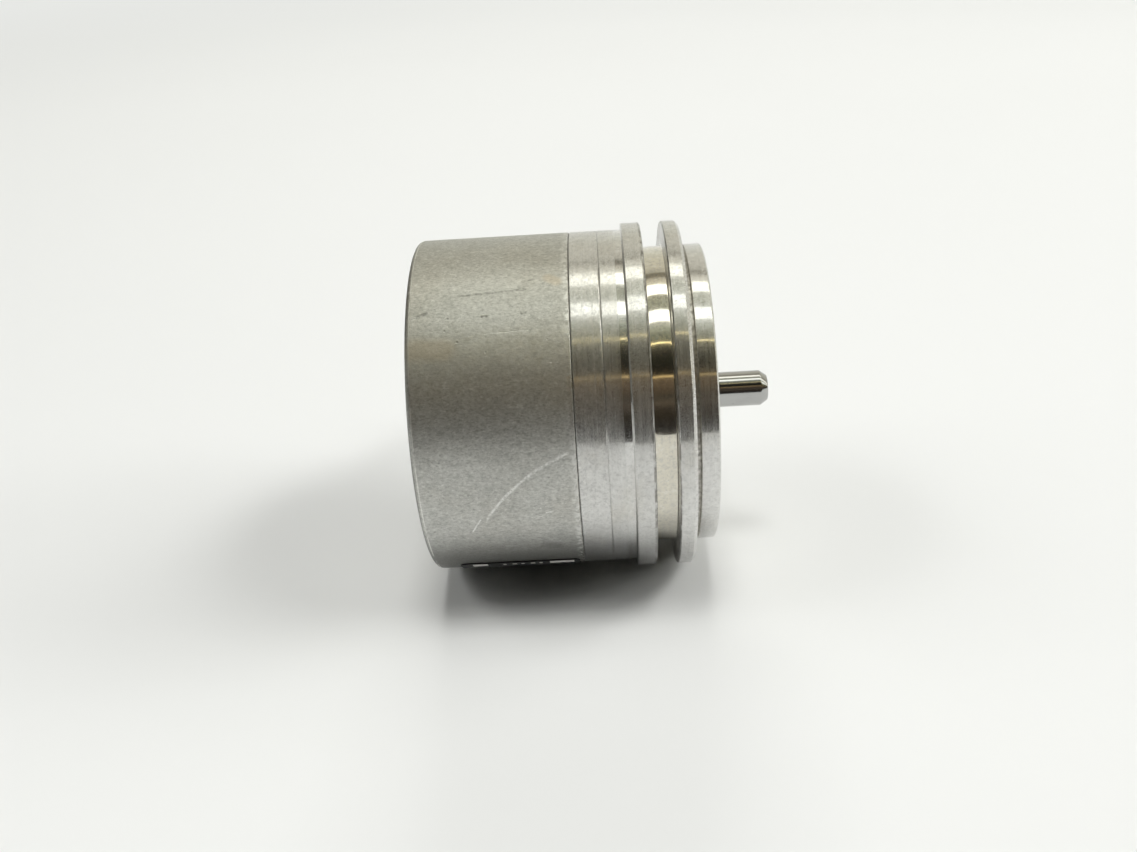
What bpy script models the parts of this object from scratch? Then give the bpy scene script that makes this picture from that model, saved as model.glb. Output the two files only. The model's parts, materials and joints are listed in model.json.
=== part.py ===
"""Shaft rotary encoder, 58 mm size, with a servo (synchro) flange and a 6 mm shaft.

Frame: +X is the shaft's axis and points out of the flange, +Z is up. The origin is where the shaft's axis
crosses the mounting shoulder, the plane that seats against the machine.
Lengths below are written in millimetres and multiplied by MM, because Blender's unit here is the metre.
"""

import math

import bpy
from mathutils import Matrix, Vector

MM = 0.001

# ---- driving dimensions, in mm --------------------------------------------------------------------------------
SHAFT_R = 3.0            # output shaft, 6 mm
SHAFT_END_X = 14.3       # free end of the shaft
SHAFT_CHAMFER = (1.3, 0.9)   # length along the shaft, depth
PILOT_R = 25.0           # 50 mm centring pilot
PILOT_X = 3.8            # pilot's front face
RING_R = 29.0            # 58 mm servo rings
RING2_BACK = -2.7        # front ring: from here to the shoulder at 0
RING1_FRONT = -6.2
RING1_BACK = -9.4
GROOVE_R = 24.95         # bottom of the servo clamp groove
BODY_R = 28.0            # 56 mm housing
SEAM2_X = -13.26         # flange meets bearing housing
SEAM1_X = -17.86         # bearing housing meets cover
REAR_X = -42.9
WALL = 2.05              # cover's wall
REAR_WALL = 2.0
FIT = 0.05               # gap between parts that touch on the real object

MOUNT_HOLE_PCD_R = 21.0  # three M4 tapped holes in the pilot's face
MOUNT_HOLE_R = 1.65
FLANGE_SCREW_PCD_R = 19.5
STANDOFF_PCD_R = 20.0

BEARING_BORE_R = 4.03    # 8 x 19 x 6 mm deep groove ball bearings
BEARING_OD_R = 9.5
BEARING_W = 6.0
PITCH_R = 6.75
BALL_R = 1.5
BALLS = 7
FRONT_BEARING_X = -3.7   # centres
REAR_BEARING_X = -18.0

DISC_R = 17.0
TRACK_R = 15.5           # radius of the code track that the light crosses
BOARD_R = 22.3
BOARD_X = (-29.4, -31.0)

LABEL_X = (-38.6, -18.9)
LABEL_ANGLES = (225, 315)   # round the shaft, 0 at +Y and 90 at +Z, so it lies underneath

OUTLET_X = -33.0         # axis of the radial M12 outlet, which points to +Y
OUTLET_SEAT_Y = 29.6
OUTLET_MOUTH_Y = 42.0

BIG, MID, SMALL, TINY = 40, 28, 20, 8    # segments of turned parts

# ---- start from an empty scene --------------------------------------------------------------------------------
for old in list(bpy.data.objects):
    bpy.data.objects.remove(old, do_unlink=True)

parts = bpy.data.collections.new("rotary_encoder")
cutters = bpy.data.collections.new("cutters")
for c in (parts, cutters):
    bpy.context.scene.collection.children.link(c)
cutters.hide_render = True


# ---- materials --------------------------------------------------------------------------------------------------
def material(name, colour, rough, metal, alpha=1.0):
    m = bpy.data.materials.new(name)
    m.use_nodes = True
    b = m.node_tree.nodes["Principled BSDF"]
    b.inputs["Base Color"].default_value = (*colour, 1.0)
    b.inputs["Roughness"].default_value = rough
    b.inputs["Metallic"].default_value = metal
    b.inputs["Alpha"].default_value = alpha
    return m


CAST = material("cast_aluminium", (0.56, 0.56, 0.54), 0.55, 1.0)
TURNED = material("turned_aluminium", (0.78, 0.78, 0.76), 0.25, 1.0)
STAINLESS = material("ground_stainless", (0.72, 0.72, 0.70), 0.12, 1.0)
BEARING = material("bearing_steel", (0.62, 0.62, 0.63), 0.15, 1.0)
CAGE = material("cage_steel", (0.70, 0.66, 0.56), 0.35, 1.0)
SPRING = material("spring_steel", (0.35, 0.33, 0.31), 0.35, 1.0)
ZINC = material("zinc_plated_steel", (0.70, 0.71, 0.73), 0.3, 1.0)
BRASS = material("nickel_brass", (0.78, 0.72, 0.55), 0.3, 1.0)
RUBBER = material("black_rubber", (0.03, 0.03, 0.03), 0.7, 0.0)
GLASS = material("disc_glass", (0.75, 0.85, 0.82), 0.05, 0.0, 0.5)
BOARD = material("board_green", (0.03, 0.22, 0.10), 0.45, 0.0)
BLACK = material("black_plastic", (0.03, 0.03, 0.035), 0.45, 0.0)
LABEL = material("label_black", (0.02, 0.02, 0.02), 0.35, 0.0)
CABLE = material("ribbon_grey", (0.45, 0.45, 0.46), 0.5, 0.0)


# ---- modelling helpers ------------------------------------------------------------------------------------------
def link(obj, where=parts):
    where.objects.link(obj)
    return obj


def add_object(name, mesh, mat=None, where=parts):
    obj = bpy.data.objects.new(name, mesh)
    if mat is not None:
        mesh.materials.clear()
        mesh.materials.append(mat)
    link(obj, where)
    if where is cutters:
        obj.hide_render = True
        obj.display_type = "WIRE"
    return obj


def axis_x(at=(0, 0, 0)):
    """Local +Z becomes +X."""
    return Matrix.Translation(Vector(at) * MM) @ Matrix.Rotation(math.pi / 2, 4, "Y")


def axis_dir(direction, at=(0, 0, 0)):
    """Local +Z becomes the given direction."""
    q = Vector(direction).to_track_quat("Z", "Y")
    return Matrix.Translation(Vector(at) * MM) @ q.to_matrix().to_4x4()


def turned(name, profile, mat=None, segments=MID, frame=None, where=parts, closed=True):
    """A turned part. profile is a list of (radius, distance along the axis) in mm, in order round the section.
    A section that touches the axis is open there, and one that doesn't is a closed loop."""
    area = sum(a[0] * b[1] - b[0] * a[1] for a, b in zip(profile, profile[1:] + profile[:1]))
    pts = list(profile)
    if area > 0:
        pts.reverse()
    if not closed:            # open section: it starts and ends on the axis
        while pts[0][0] > 1e-9:
            pts = pts[1:] + pts[:1]
        if pts[-1][0] > 1e-9:
            pts = pts[1:] + pts[:1]
    mesh = bpy.data.meshes.new(name)
    edges = [(i, i + 1) for i in range(len(pts) - 1)]
    if closed:
        edges.append((len(pts) - 1, 0))
    mesh.from_pydata([(r * MM, 0, x * MM) for r, x in pts], edges, [])
    obj = add_object(name, mesh, mat, where)
    obj.matrix_world = axis_x() if frame is None else frame
    s = obj.modifiers.new("turn", "SCREW")
    s.axis = "Z"
    s.angle = 2 * math.pi
    s.screw_offset = 0
    s.steps = s.render_steps = segments
    s.use_merge_vertices = True
    s.merge_threshold = 1e-5
    s.use_smooth_shade = True
    return obj


def cylinder(name, radius, x0, x1, frame, mat=None, segments=TINY, where=parts, turn=0.0):
    """A plain cylinder from x0 to x1 mm along the local Z of frame."""
    bpy.ops.mesh.primitive_cylinder_add(
        vertices=segments, radius=radius * MM, depth=abs(x1 - x0) * MM, end_fill_type="NGON"
    )
    made = bpy.context.active_object
    mesh = made.data
    bpy.data.objects.remove(made)
    mesh.name = name
    mesh.transform(Matrix.Translation((0, 0, (x0 + x1) / 2 * MM)) @ Matrix.Rotation(turn, 4, "Z"))
    obj = add_object(name, mesh, mat, where)
    obj.matrix_world = frame
    return obj


def block(name, centre, size, mat=None, where=parts, frame=None, bevel=0.0):
    bpy.ops.mesh.primitive_cube_add(size=1)
    made = bpy.context.active_object
    mesh = made.data
    bpy.data.objects.remove(made)
    mesh.name = name
    mesh.transform(Matrix.Diagonal((size[0] * MM, size[1] * MM, size[2] * MM, 1)))
    obj = add_object(name, mesh, mat, where)
    obj.matrix_world = (frame or Matrix.Identity(4)) @ Matrix.Translation(Vector(centre) * MM)
    if bevel:
        b = obj.modifiers.new("edges", "BEVEL")
        b.width = bevel * MM
        b.segments = 1
        b.limit_method = "ANGLE"
    return obj


def cut(obj, tool, operation="DIFFERENCE"):
    b = obj.modifiers.new(operation.lower(), "BOOLEAN")
    b.operation = operation
    b.solver = "EXACT"
    b.object = tool
    return obj


def polar(radius, angle_deg, x=0.0):
    """A point at a radius and an angle round the shaft: 0 is +Y and 90 is +Z."""
    a = math.radians(angle_deg)
    return (x, radius * math.cos(a), radius * math.sin(a))


def arc(cx, cr, radius, a0, a1, n):
    """Points (radius, x) of an arc about (cr, cx) in a turned section; angles in degrees, 0 points to +radius."""
    out = []
    for i in range(n + 1):
        a = math.radians(a0 + (a1 - a0) * i / n)
        out.append((cr + radius * math.cos(a), cx + radius * math.sin(a)))
    return out


# ---- servo flange -----------------------------------------------------------------------------------------------
flange = turned("servo_flange", [
    (8.0, PILOT_X), (PILOT_R - 0.3, PILOT_X), (PILOT_R, PILOT_X - 0.3), (PILOT_R, 0.85),
    (24.6, 0.6), (24.6, -0.2), (25.15, -0.2), (25.15, 0.0), (RING_R - 0.45, 0.0), (RING_R, -0.55),
    (RING_R, RING2_BACK), (GROOVE_R, RING2_BACK), (GROOVE_R, RING1_FRONT), (RING_R, RING1_FRONT),
    (RING_R, RING1_BACK), (BODY_R, RING1_BACK),
    (BODY_R, SEAM2_X + 0.15), (BODY_R - 0.15, SEAM2_X), (16.1, SEAM2_X), (16.1, -8.9),
    (BEARING_OD_R + FIT, -8.9), (BEARING_OD_R + FIT, -0.65), (7.6, -0.65), (7.6, 0.35), (8.0, 0.35),
], TURNED, BIG)
for i, a in enumerate((90, 210, 330)):
    cut(flange, cylinder(f"cut_mount_hole_{i+1}", MOUNT_HOLE_R, -4.0, PILOT_X + 2, axis_x(polar(MOUNT_HOLE_PCD_R, a)), where=cutters))
for i, a in enumerate((0, 120, 240)):
    cut(flange, cylinder(f"cut_flange_screw_{i+1}", 1.65, -15.0, -7.4, axis_x(polar(FLANGE_SCREW_PCD_R, a)), where=cutters))

# ---- bearing housing: the joint between flange and cover, carries the rear bearing, the optics and the board -------
bearing_housing = turned("bearing_housing", [
    (7.6, -9.1), (16.0, -9.1), (16.0, SEAM2_X - FIT), (BODY_R - 0.15, SEAM2_X - FIT), (BODY_R, SEAM2_X - 0.2),
    (BODY_R, SEAM1_X + 0.15), (BODY_R - 0.15, SEAM1_X), (25.8, SEAM1_X), (25.8, -18.7), (24.4, -18.7), (24.4, -20.5),
    (25.8, -20.5), (25.8, -21.6), (22.8, -21.6), (22.8, -16.6), (12.0, -16.6), (12.0, -23.2),
    (9.55, -23.2), (9.55, -22.7), (10.3, -22.7), (10.3, -22.0), (9.55, -22.0), (9.55, -14.4), (7.6, -14.4),
], TURNED, BIG)
for i, a in enumerate((0, 120, 240)):
    cut(bearing_housing, cylinder(f"cut_through_{i+1}", 1.65, -18.0, -12.0, axis_x(polar(FLANGE_SCREW_PCD_R, a)), where=cutters))
for i, a in enumerate((60, 180, 300)):
    cut(bearing_housing, cylinder(f"cut_standoff_{i+1}", 1.4, -18.0, -13.9, axis_x(polar(STANDOFF_PCD_R, a)), where=cutters))

# ---- housing cover: a die-cast can with a flat pad for the outlet on its far side ---------------------------------
cover = turned("housing_cover", [
    (0, REAR_X), (BODY_R - 1.0, REAR_X), (BODY_R - 0.3, REAR_X + 0.3), (BODY_R, REAR_X + 1.0),
    (BODY_R, SEAM1_X - 0.35), (BODY_R - 0.25, SEAM1_X - 0.1), (BODY_R - WALL, SEAM1_X - 0.1),
    (BODY_R - WALL, REAR_X + REAR_WALL + 0.4), (BODY_R - WALL - 0.4, REAR_X + REAR_WALL), (0, REAR_X + REAR_WALL),
], CAST, BIG, closed=False)
to_y = axis_dir((0, 1, 0), (OUTLET_X, 0, 0))
cut(cover, cylinder("outlet_pad", 9.0, 26.2, OUTLET_SEAT_Y, to_y, segments=MID, where=cutters), "UNION")
cut(cover, cylinder("cut_outlet_bore", 6.05, 20.0, 33.0, to_y, segments=SMALL, where=cutters))
for i, a in enumerate((60, 180, 300)):
    cut(cover, turned(f"cut_cover_screw_{i+1}", [
        (0, REAR_X - 1.0), (2.6, REAR_X - 1.0), (2.6, REAR_X), (1.4, REAR_X + 1.2), (1.4, REAR_X + 4.0), (0, REAR_X + 4.0)
    ], segments=TINY, frame=axis_x(polar(STANDOFF_PCD_R, a)), where=cutters, closed=False))

# ---- shaft -------------------------------------------------------------------------------------------------------
shaft = turned("encoder_shaft", [
    (0, SHAFT_END_X), (SHAFT_R - SHAFT_CHAMFER[1], SHAFT_END_X), (SHAFT_R, SHAFT_END_X - SHAFT_CHAMFER[0]),
    (SHAFT_R, 0.25), (3.98, 0.25), (3.98, -0.05), (3.4, -0.05), (3.4, -0.65), (3.98, -0.65), (3.98, -21.05),
    (5.3, -21.05), (5.3, -22.6), (3.98, -22.6), (3.98, -28.4), (3.7, -28.6), (0, -28.6),
], STAINLESS, SMALL, closed=False)

# ---- bearings ----------------------------------------------------------------------------------------------------
HALF_W = BEARING_W / 2
RACE_R = BALL_R + 0.15
for which, bx in (("front", FRONT_BEARING_X), ("rear", REAR_BEARING_X)):
    turned(f"{which}_bearing_inner_ring",
           [(BEARING_BORE_R, bx + HALF_W), (5.75, bx + HALF_W)]
           + arc(bx, PITCH_R, RACE_R, 180 - 52, 180 + 52, 4)
           + [(5.75, bx - HALF_W), (BEARING_BORE_R, bx - HALF_W)], BEARING, MID)
    turned(f"{which}_bearing_outer_ring",
           [(7.75, bx + HALF_W), (BEARING_OD_R, bx + HALF_W), (BEARING_OD_R, bx - HALF_W), (7.75, bx - HALF_W)]
           + arc(bx, PITCH_R, RACE_R, -52, 52, 4), BEARING, MID)
    cage = turned(f"{which}_bearing_cage", [(6.3, bx + 2.2), (7.2, bx + 2.2), (7.2, bx - 2.2), (6.3, bx - 2.2)], CAGE, 28)
    for k in range(BALLS):
        a = 360 * k / BALLS
        d = polar(1, a)
        cut(cage, cylinder(f"cut_{which}_pocket_{k+1}", 1.62, 5.0, 9.0, axis_dir(d, (bx, 0, 0)), segments=8, where=cutters, turn=math.pi / 8))
    ball = None
    for k in range(BALLS):
        if ball is None:
            bpy.ops.mesh.primitive_uv_sphere_add(segments=8, ring_count=6, radius=BALL_R * MM)
            made = bpy.context.active_object
            ball = made.data
            bpy.data.objects.remove(made)
            ball.name = f"{which}_ball"
            ball.materials.append(BEARING)
            ball.shade_smooth()
        obj = bpy.data.objects.new(f"{which}_ball_{k+1}", ball)
        link(obj)
        obj.location = Vector(polar(PITCH_R, 360 * k / BALLS, bx)) * MM

turned("bearing_spacer", [(4.03, -6.75), (5.4, -6.75), (5.4, -14.95), (4.03, -14.95)], TURNED, SMALL)

# ---- shaft seal, circlips, preload spring --------------------------------------------------------------------------
turned("shaft_seal", [
    (3.08, 2.6), (4.2, 1.3), (6.6, 1.3), (6.6, 0.45), (7.93, 0.45), (7.93, 3.55), (5.0, 3.55), (3.6, 3.1),
], RUBBER, MID)
shaft_clip = turned("shaft_circlip", [(3.45, -0.12), (5.2, -0.12), (5.2, -0.6), (3.45, -0.6)], SPRING, SMALL)
cut(shaft_clip, block("cut_shaft_clip", (-0.35, 0, -5), (2, 3.2, 6), where=cutters))
bore_clip = turned("bearing_circlip", [(8.6, -22.08), (10.2, -22.08), (10.2, -22.62), (8.6, -22.62)], SPRING, MID)
cut(bore_clip, block("cut_bore_clip", (-22.35, 0, -9.5), (2, 5.0, 4), where=cutters))


def wave_washer(name, inner, outer, x_mid, rise, thick, waves, mat, segments):
    """A flat ring bent into waves: a ring surface thickened by Solidify."""
    mesh = bpy.data.meshes.new(name)
    verts, faces = [], []
    for i in range(segments):
        a = 2 * math.pi * i / segments
        x = x_mid + rise * math.sin(waves * a)
        for r in (inner, outer):
            verts.append((x * MM, r * math.cos(a) * MM, r * math.sin(a) * MM))
    for i in range(segments):
        j = (i + 1) % segments
        faces.append((2 * i, 2 * i + 1, 2 * j + 1, 2 * j))
    mesh.from_pydata(verts, [], faces)
    obj = add_object(name, mesh, mat)
    s = obj.modifiers.new("sheet", "SOLIDIFY")
    s.thickness = thick * MM
    s.offset = 0
    return obj


wave_washer("preload_wave_washer", 8.1, 9.3, -21.52, 0.22, 0.25, 3, SPRING, 36)


# ---- screws and standoffs -------------------------------------------------------------------------------------------
def hex_recess(name, across, depth, x_face, frame, inward):
    r = across / math.sqrt(3)
    x1 = x_face + depth * inward
    x0 = x_face - 1.0 * inward
    return cylinder(name, r, min(x0, x1), max(x0, x1), frame, segments=6, where=cutters)


for i, a in enumerate((0, 120, 240)):
    f = axis_x(polar(FLANGE_SCREW_PCD_R, a))
    s = turned(f"flange_screw_{i+1}", [
        (0, -18.9), (2.35, -18.9), (2.5, -18.7), (2.5, -16.65), (1.5, -16.65), (1.5, -8.2), (1.2, -7.8), (0, -7.8)
    ], ZINC, TINY, frame=f, closed=False)
    cut(s, hex_recess(f"cut_flange_key_{i+1}", 2.5, 1.3, -18.9, f, 1))

for i, a in enumerate((60, 180, 300)):
    f = axis_x(polar(STANDOFF_PCD_R, a))
    s = cylinder(f"board_standoff_{i+1}", 2.3, -29.35, -16.65, f, BRASS, 6)
    cut(s, cylinder(f"stud_a_{i+1}", 1.25, -17.5, -14.2, f, segments=TINY, where=cutters), "UNION")
    cut(s, cylinder(f"cut_tap_a_{i+1}", 1.35, -31.0, -25.8, f, segments=TINY, where=cutters))
    t = cylinder(f"cover_standoff_{i+1}", 2.3, REAR_X + REAR_WALL + 0.05, -31.05, f, BRASS, 6)
    cut(t, cylinder(f"stud_b_{i+1}", 1.2, -32.0, -26.2, f, segments=TINY, where=cutters), "UNION")
    cut(t, cylinder(f"cut_tap_b_{i+1}", 1.35, -42.0, -35.6, f, segments=TINY, where=cutters))
    c = turned(f"cover_screw_{i+1}", [
        (0, REAR_X + 0.05), (2.35, REAR_X + 0.05), (2.35, REAR_X + 0.15), (1.2, REAR_X + 1.3), (1.2, -36.2), (0.9, -35.9), (0, -35.9)
    ], ZINC, TINY, frame=f, closed=False)
    cut(c, hex_recess(f"cut_cover_key_{i+1}", 1.5, 1.0, REAR_X + 0.05, f, 1))

# ---- rotor: hub, code disc, clamp nut, set screw ----------------------------------------------------------------------
hub = turned("disc_hub", [
    (4.03, -22.7), (6.6, -22.7), (6.6, -24.9), (9.5, -24.9), (9.5, -25.9), (5.5, -25.9), (5.5, -28.2), (4.03, -28.2),
], BRASS, MID)
up = axis_dir((0, 0, 1), (-23.8, 0, 0))
cut(hub, cylinder("cut_set_screw", 0.85, 3.5, 8.0, up, segments=TINY, where=cutters))
set_screw = cylinder("hub_set_screw", 0.75, 4.1, 6.4, up, SPRING, TINY)
turned("code_disc", [(5.6, -25.95), (DISC_R, -25.95), (DISC_R, -26.95), (5.6, -26.95)], GLASS, BIG)
turned("disc_clamp_nut", [(5.6, -27.0), (8.5, -27.0), (8.5, -28.0), (5.6, -28.0)], BRASS, MID)

# ---- light source and scanner -----------------------------------------------------------------------------------------
on_track = axis_x((0, 0, TRACK_R))
holder = block("light_source_holder", (-20.85, 0, 15.7), (8.3, 8.0, 6.6), BLACK)
cut(holder, cylinder("cut_light_tube", 2.3, -26.0, -17.6, on_track, segments=16, where=cutters))
turned("led_emitter", [
    (0, -17.7), (2.2, -17.7), (2.2, -18.6), (1.9, -18.6), (1.9, -20.4), (1.55, -21.4), (0.85, -22.1), (0, -22.3)
], GLASS, 16, frame=on_track, closed=False)
turned("collimating_lens", [
    (0, -22.9), (1.0, -23.05), (1.8, -23.5), (2.2, -24.1), (2.2, -24.9), (0, -24.9)
], GLASS, 16, frame=on_track, closed=False)
block("scanning_reticle", (-27.65, 0, TRACK_R), (0.6, 8.0, 6.4), GLASS)
block("sensor_chip", (-28.68, 0, TRACK_R), (1.3, 9.0, 6.8), BLACK)

# ---- circuit board -----------------------------------------------------------------------------------------------------
board = cylinder("encoder_board", BOARD_R, BOARD_X[1], BOARD_X[0], axis_x(), BOARD, BIG)
for i, a in enumerate((60, 180, 300)):
    cut(board, cylinder(f"cut_board_{i+1}", 1.45, -33, -28, axis_x(polar(STANDOFF_PCD_R, a)), where=cutters))
block("processor_chip", (-31.75, -8.0, 0), (1.4, 9.0, 9.0), BLACK)
block("board_header", (-33.1, 10.0, 0), (4.1, 4.6, 12.4), BLACK)

# ---- seals between the housings -----------------------------------------------------------------------------------------
turned("cover_oring", arc(-19.6, 25.17, 0.7, 0, 300, 5), RUBBER, BIG)

# ---- outlet: M12 connector on the far side --------------------------------------------------------------------------------
Y0, Y1 = OUTLET_SEAT_Y, OUTLET_MOUTH_Y
shell = turned("outlet_shell", [
    (0, Y1), (5.6, Y1), (6.0, Y1 - 0.4), (6.0, Y0 + 3.4), (7.2, Y0 + 3.4), (7.4, Y0 + 3.2), (7.4, Y0 + FIT), (5.95, Y0 + FIT),
    (5.95, 24.4), (0, 24.4),
], BRASS, SMALL, frame=to_y, closed=False)
cut(shell, cylinder("outlet_hex", 8.2, Y0 + 0.25, Y0 + 2.9, to_y, segments=6, where=cutters), "UNION")
cut(shell, cylinder("cut_outlet_shell_bore", 4.7, 20.0, Y1 + 3.0, to_y, segments=SMALL, where=cutters))
insert = cylinder("outlet_insert", 4.6, 24.9, 33.4, to_y, BLACK, SMALL)
pin_tool = None
for k in range(8):
    a = 2 * math.pi * k / 7
    r = 2.75 if k < 7 else 0.0
    f = to_y @ Matrix.Translation((r * math.cos(a) * MM, r * math.sin(a) * MM, 0))
    cut(insert, cylinder(f"pin_{k+1}", 0.42, 24.1, 37.2, f, segments=6, where=cutters), "UNION")
turned("outlet_gasket", [
    (6.25, Y0 - 0.05), (7.3, Y0 - 0.05), (7.3, Y0 - 0.75), (6.25, Y0 - 0.75)
], RUBBER, SMALL, frame=to_y)
cut(cover, turned("cut_gasket_groove", [
    (0, Y0 - 0.85), (7.4, Y0 - 0.85), (7.4, Y0 + 1.0), (0, Y0 + 1.0)
], segments=SMALL, frame=to_y, where=cutters, closed=False))


# ---- ribbon cable from the outlet to the board --------------------------------------------------------------------------
def ribbon(name, path, width, thick, mat):
    """A flat cable: a strip along path (points in the XY plane, mm), thickened by Solidify."""
    mesh = bpy.data.meshes.new(name)
    verts, faces = [], []
    for x, y in path:
        verts += [(x * MM, y * MM, -width / 2 * MM), (x * MM, y * MM, width / 2 * MM)]
    for i in range(len(path) - 1):
        faces.append((2 * i, 2 * i + 1, 2 * i + 3, 2 * i + 2))
    mesh.from_pydata(verts, [], faces)
    obj = add_object(name, mesh, mat)
    s = obj.modifiers.new("sheet", "SOLIDIFY")
    s.thickness = thick * MM
    s.offset = 0
    return obj


P = [(-33.0, 23.4), (-33.2, 21.6), (-34.2, 19.6), (-36.4, 17.6), (-37.9, 15.2), (-38.2, 12.6), (-37.4, 10.6), (-35.4, 10.0)]


def smooth(points, n):
    """Catmull-Rom points through a path."""
    out = []
    pts = [points[0]] + list(points) + [points[-1]]
    for i in range(1, len(pts) - 2):
        p0, p1, p2, p3 = (Vector(p) for p in pts[i - 1:i + 3])
        for k in range(n):
            t = k / n
            out.append(tuple(0.5 * ((2 * p1) + (p2 - p0) * t + (2 * p0 - 5 * p1 + 4 * p2 - p3) * t * t + (3 * p1 - p0 - 3 * p2 + p3) * t ** 3)))
    out.append(tuple(points[-1]))
    return out


ribbon("outlet_ribbon_cable", smooth(P, 3), 6.4, 0.5, CABLE)


# ---- type label: a thin black foil round the underside of the cover -------------------------------------------------------
def label(name, radius, x0, x1, a0, a1, thick, mat, n):
    mesh = bpy.data.meshes.new(name)
    verts, faces = [], []
    for i in range(n + 1):
        p = polar(radius, a0 + (a1 - a0) * i / n)
        verts += [(x0 * MM, p[1] * MM, p[2] * MM), (x1 * MM, p[1] * MM, p[2] * MM)]
    for i in range(n):
        faces.append((2 * i, 2 * i + 1, 2 * i + 3, 2 * i + 2))
    mesh.from_pydata(verts, [], faces)
    obj = add_object(name, mesh, mat)
    s = obj.modifiers.new("foil", "SOLIDIFY")
    s.thickness = thick * MM
    s.offset = 0
    return obj


label("type_label", BODY_R + 0.16, LABEL_X[0], LABEL_X[1], LABEL_ANGLES[0], LABEL_ANGLES[1], 0.14, LABEL, 24)

# ---- round shading ---------------------------------------------------------------------------------------------------------
for obj in parts.objects:
    if obj.data.polygons:
        obj.data.set_sharp_from_angle(angle=math.radians(35))
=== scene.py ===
import json
import math

import bmesh
import bpy
from mathutils import Matrix, Vector


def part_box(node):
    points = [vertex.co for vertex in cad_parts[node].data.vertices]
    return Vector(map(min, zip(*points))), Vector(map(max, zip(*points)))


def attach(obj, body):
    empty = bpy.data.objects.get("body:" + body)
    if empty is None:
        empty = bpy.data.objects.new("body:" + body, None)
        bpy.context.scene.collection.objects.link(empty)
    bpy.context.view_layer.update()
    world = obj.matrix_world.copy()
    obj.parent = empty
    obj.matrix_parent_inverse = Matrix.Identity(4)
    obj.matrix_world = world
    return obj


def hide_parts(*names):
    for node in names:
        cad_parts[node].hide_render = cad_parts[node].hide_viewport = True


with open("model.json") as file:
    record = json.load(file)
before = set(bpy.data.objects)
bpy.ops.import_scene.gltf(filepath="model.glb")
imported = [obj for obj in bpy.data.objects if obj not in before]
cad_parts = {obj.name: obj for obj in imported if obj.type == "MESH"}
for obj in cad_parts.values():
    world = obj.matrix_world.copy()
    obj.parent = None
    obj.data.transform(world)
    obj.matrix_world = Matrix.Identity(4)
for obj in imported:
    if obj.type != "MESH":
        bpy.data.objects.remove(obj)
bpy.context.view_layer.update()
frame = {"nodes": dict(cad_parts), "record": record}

MM = 0.001
NODES = frame["nodes"]
SCENE = bpy.context.scene
SCENE.view_settings.view_transform = "Standard"
SCENE.view_settings.look = "None"


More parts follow.
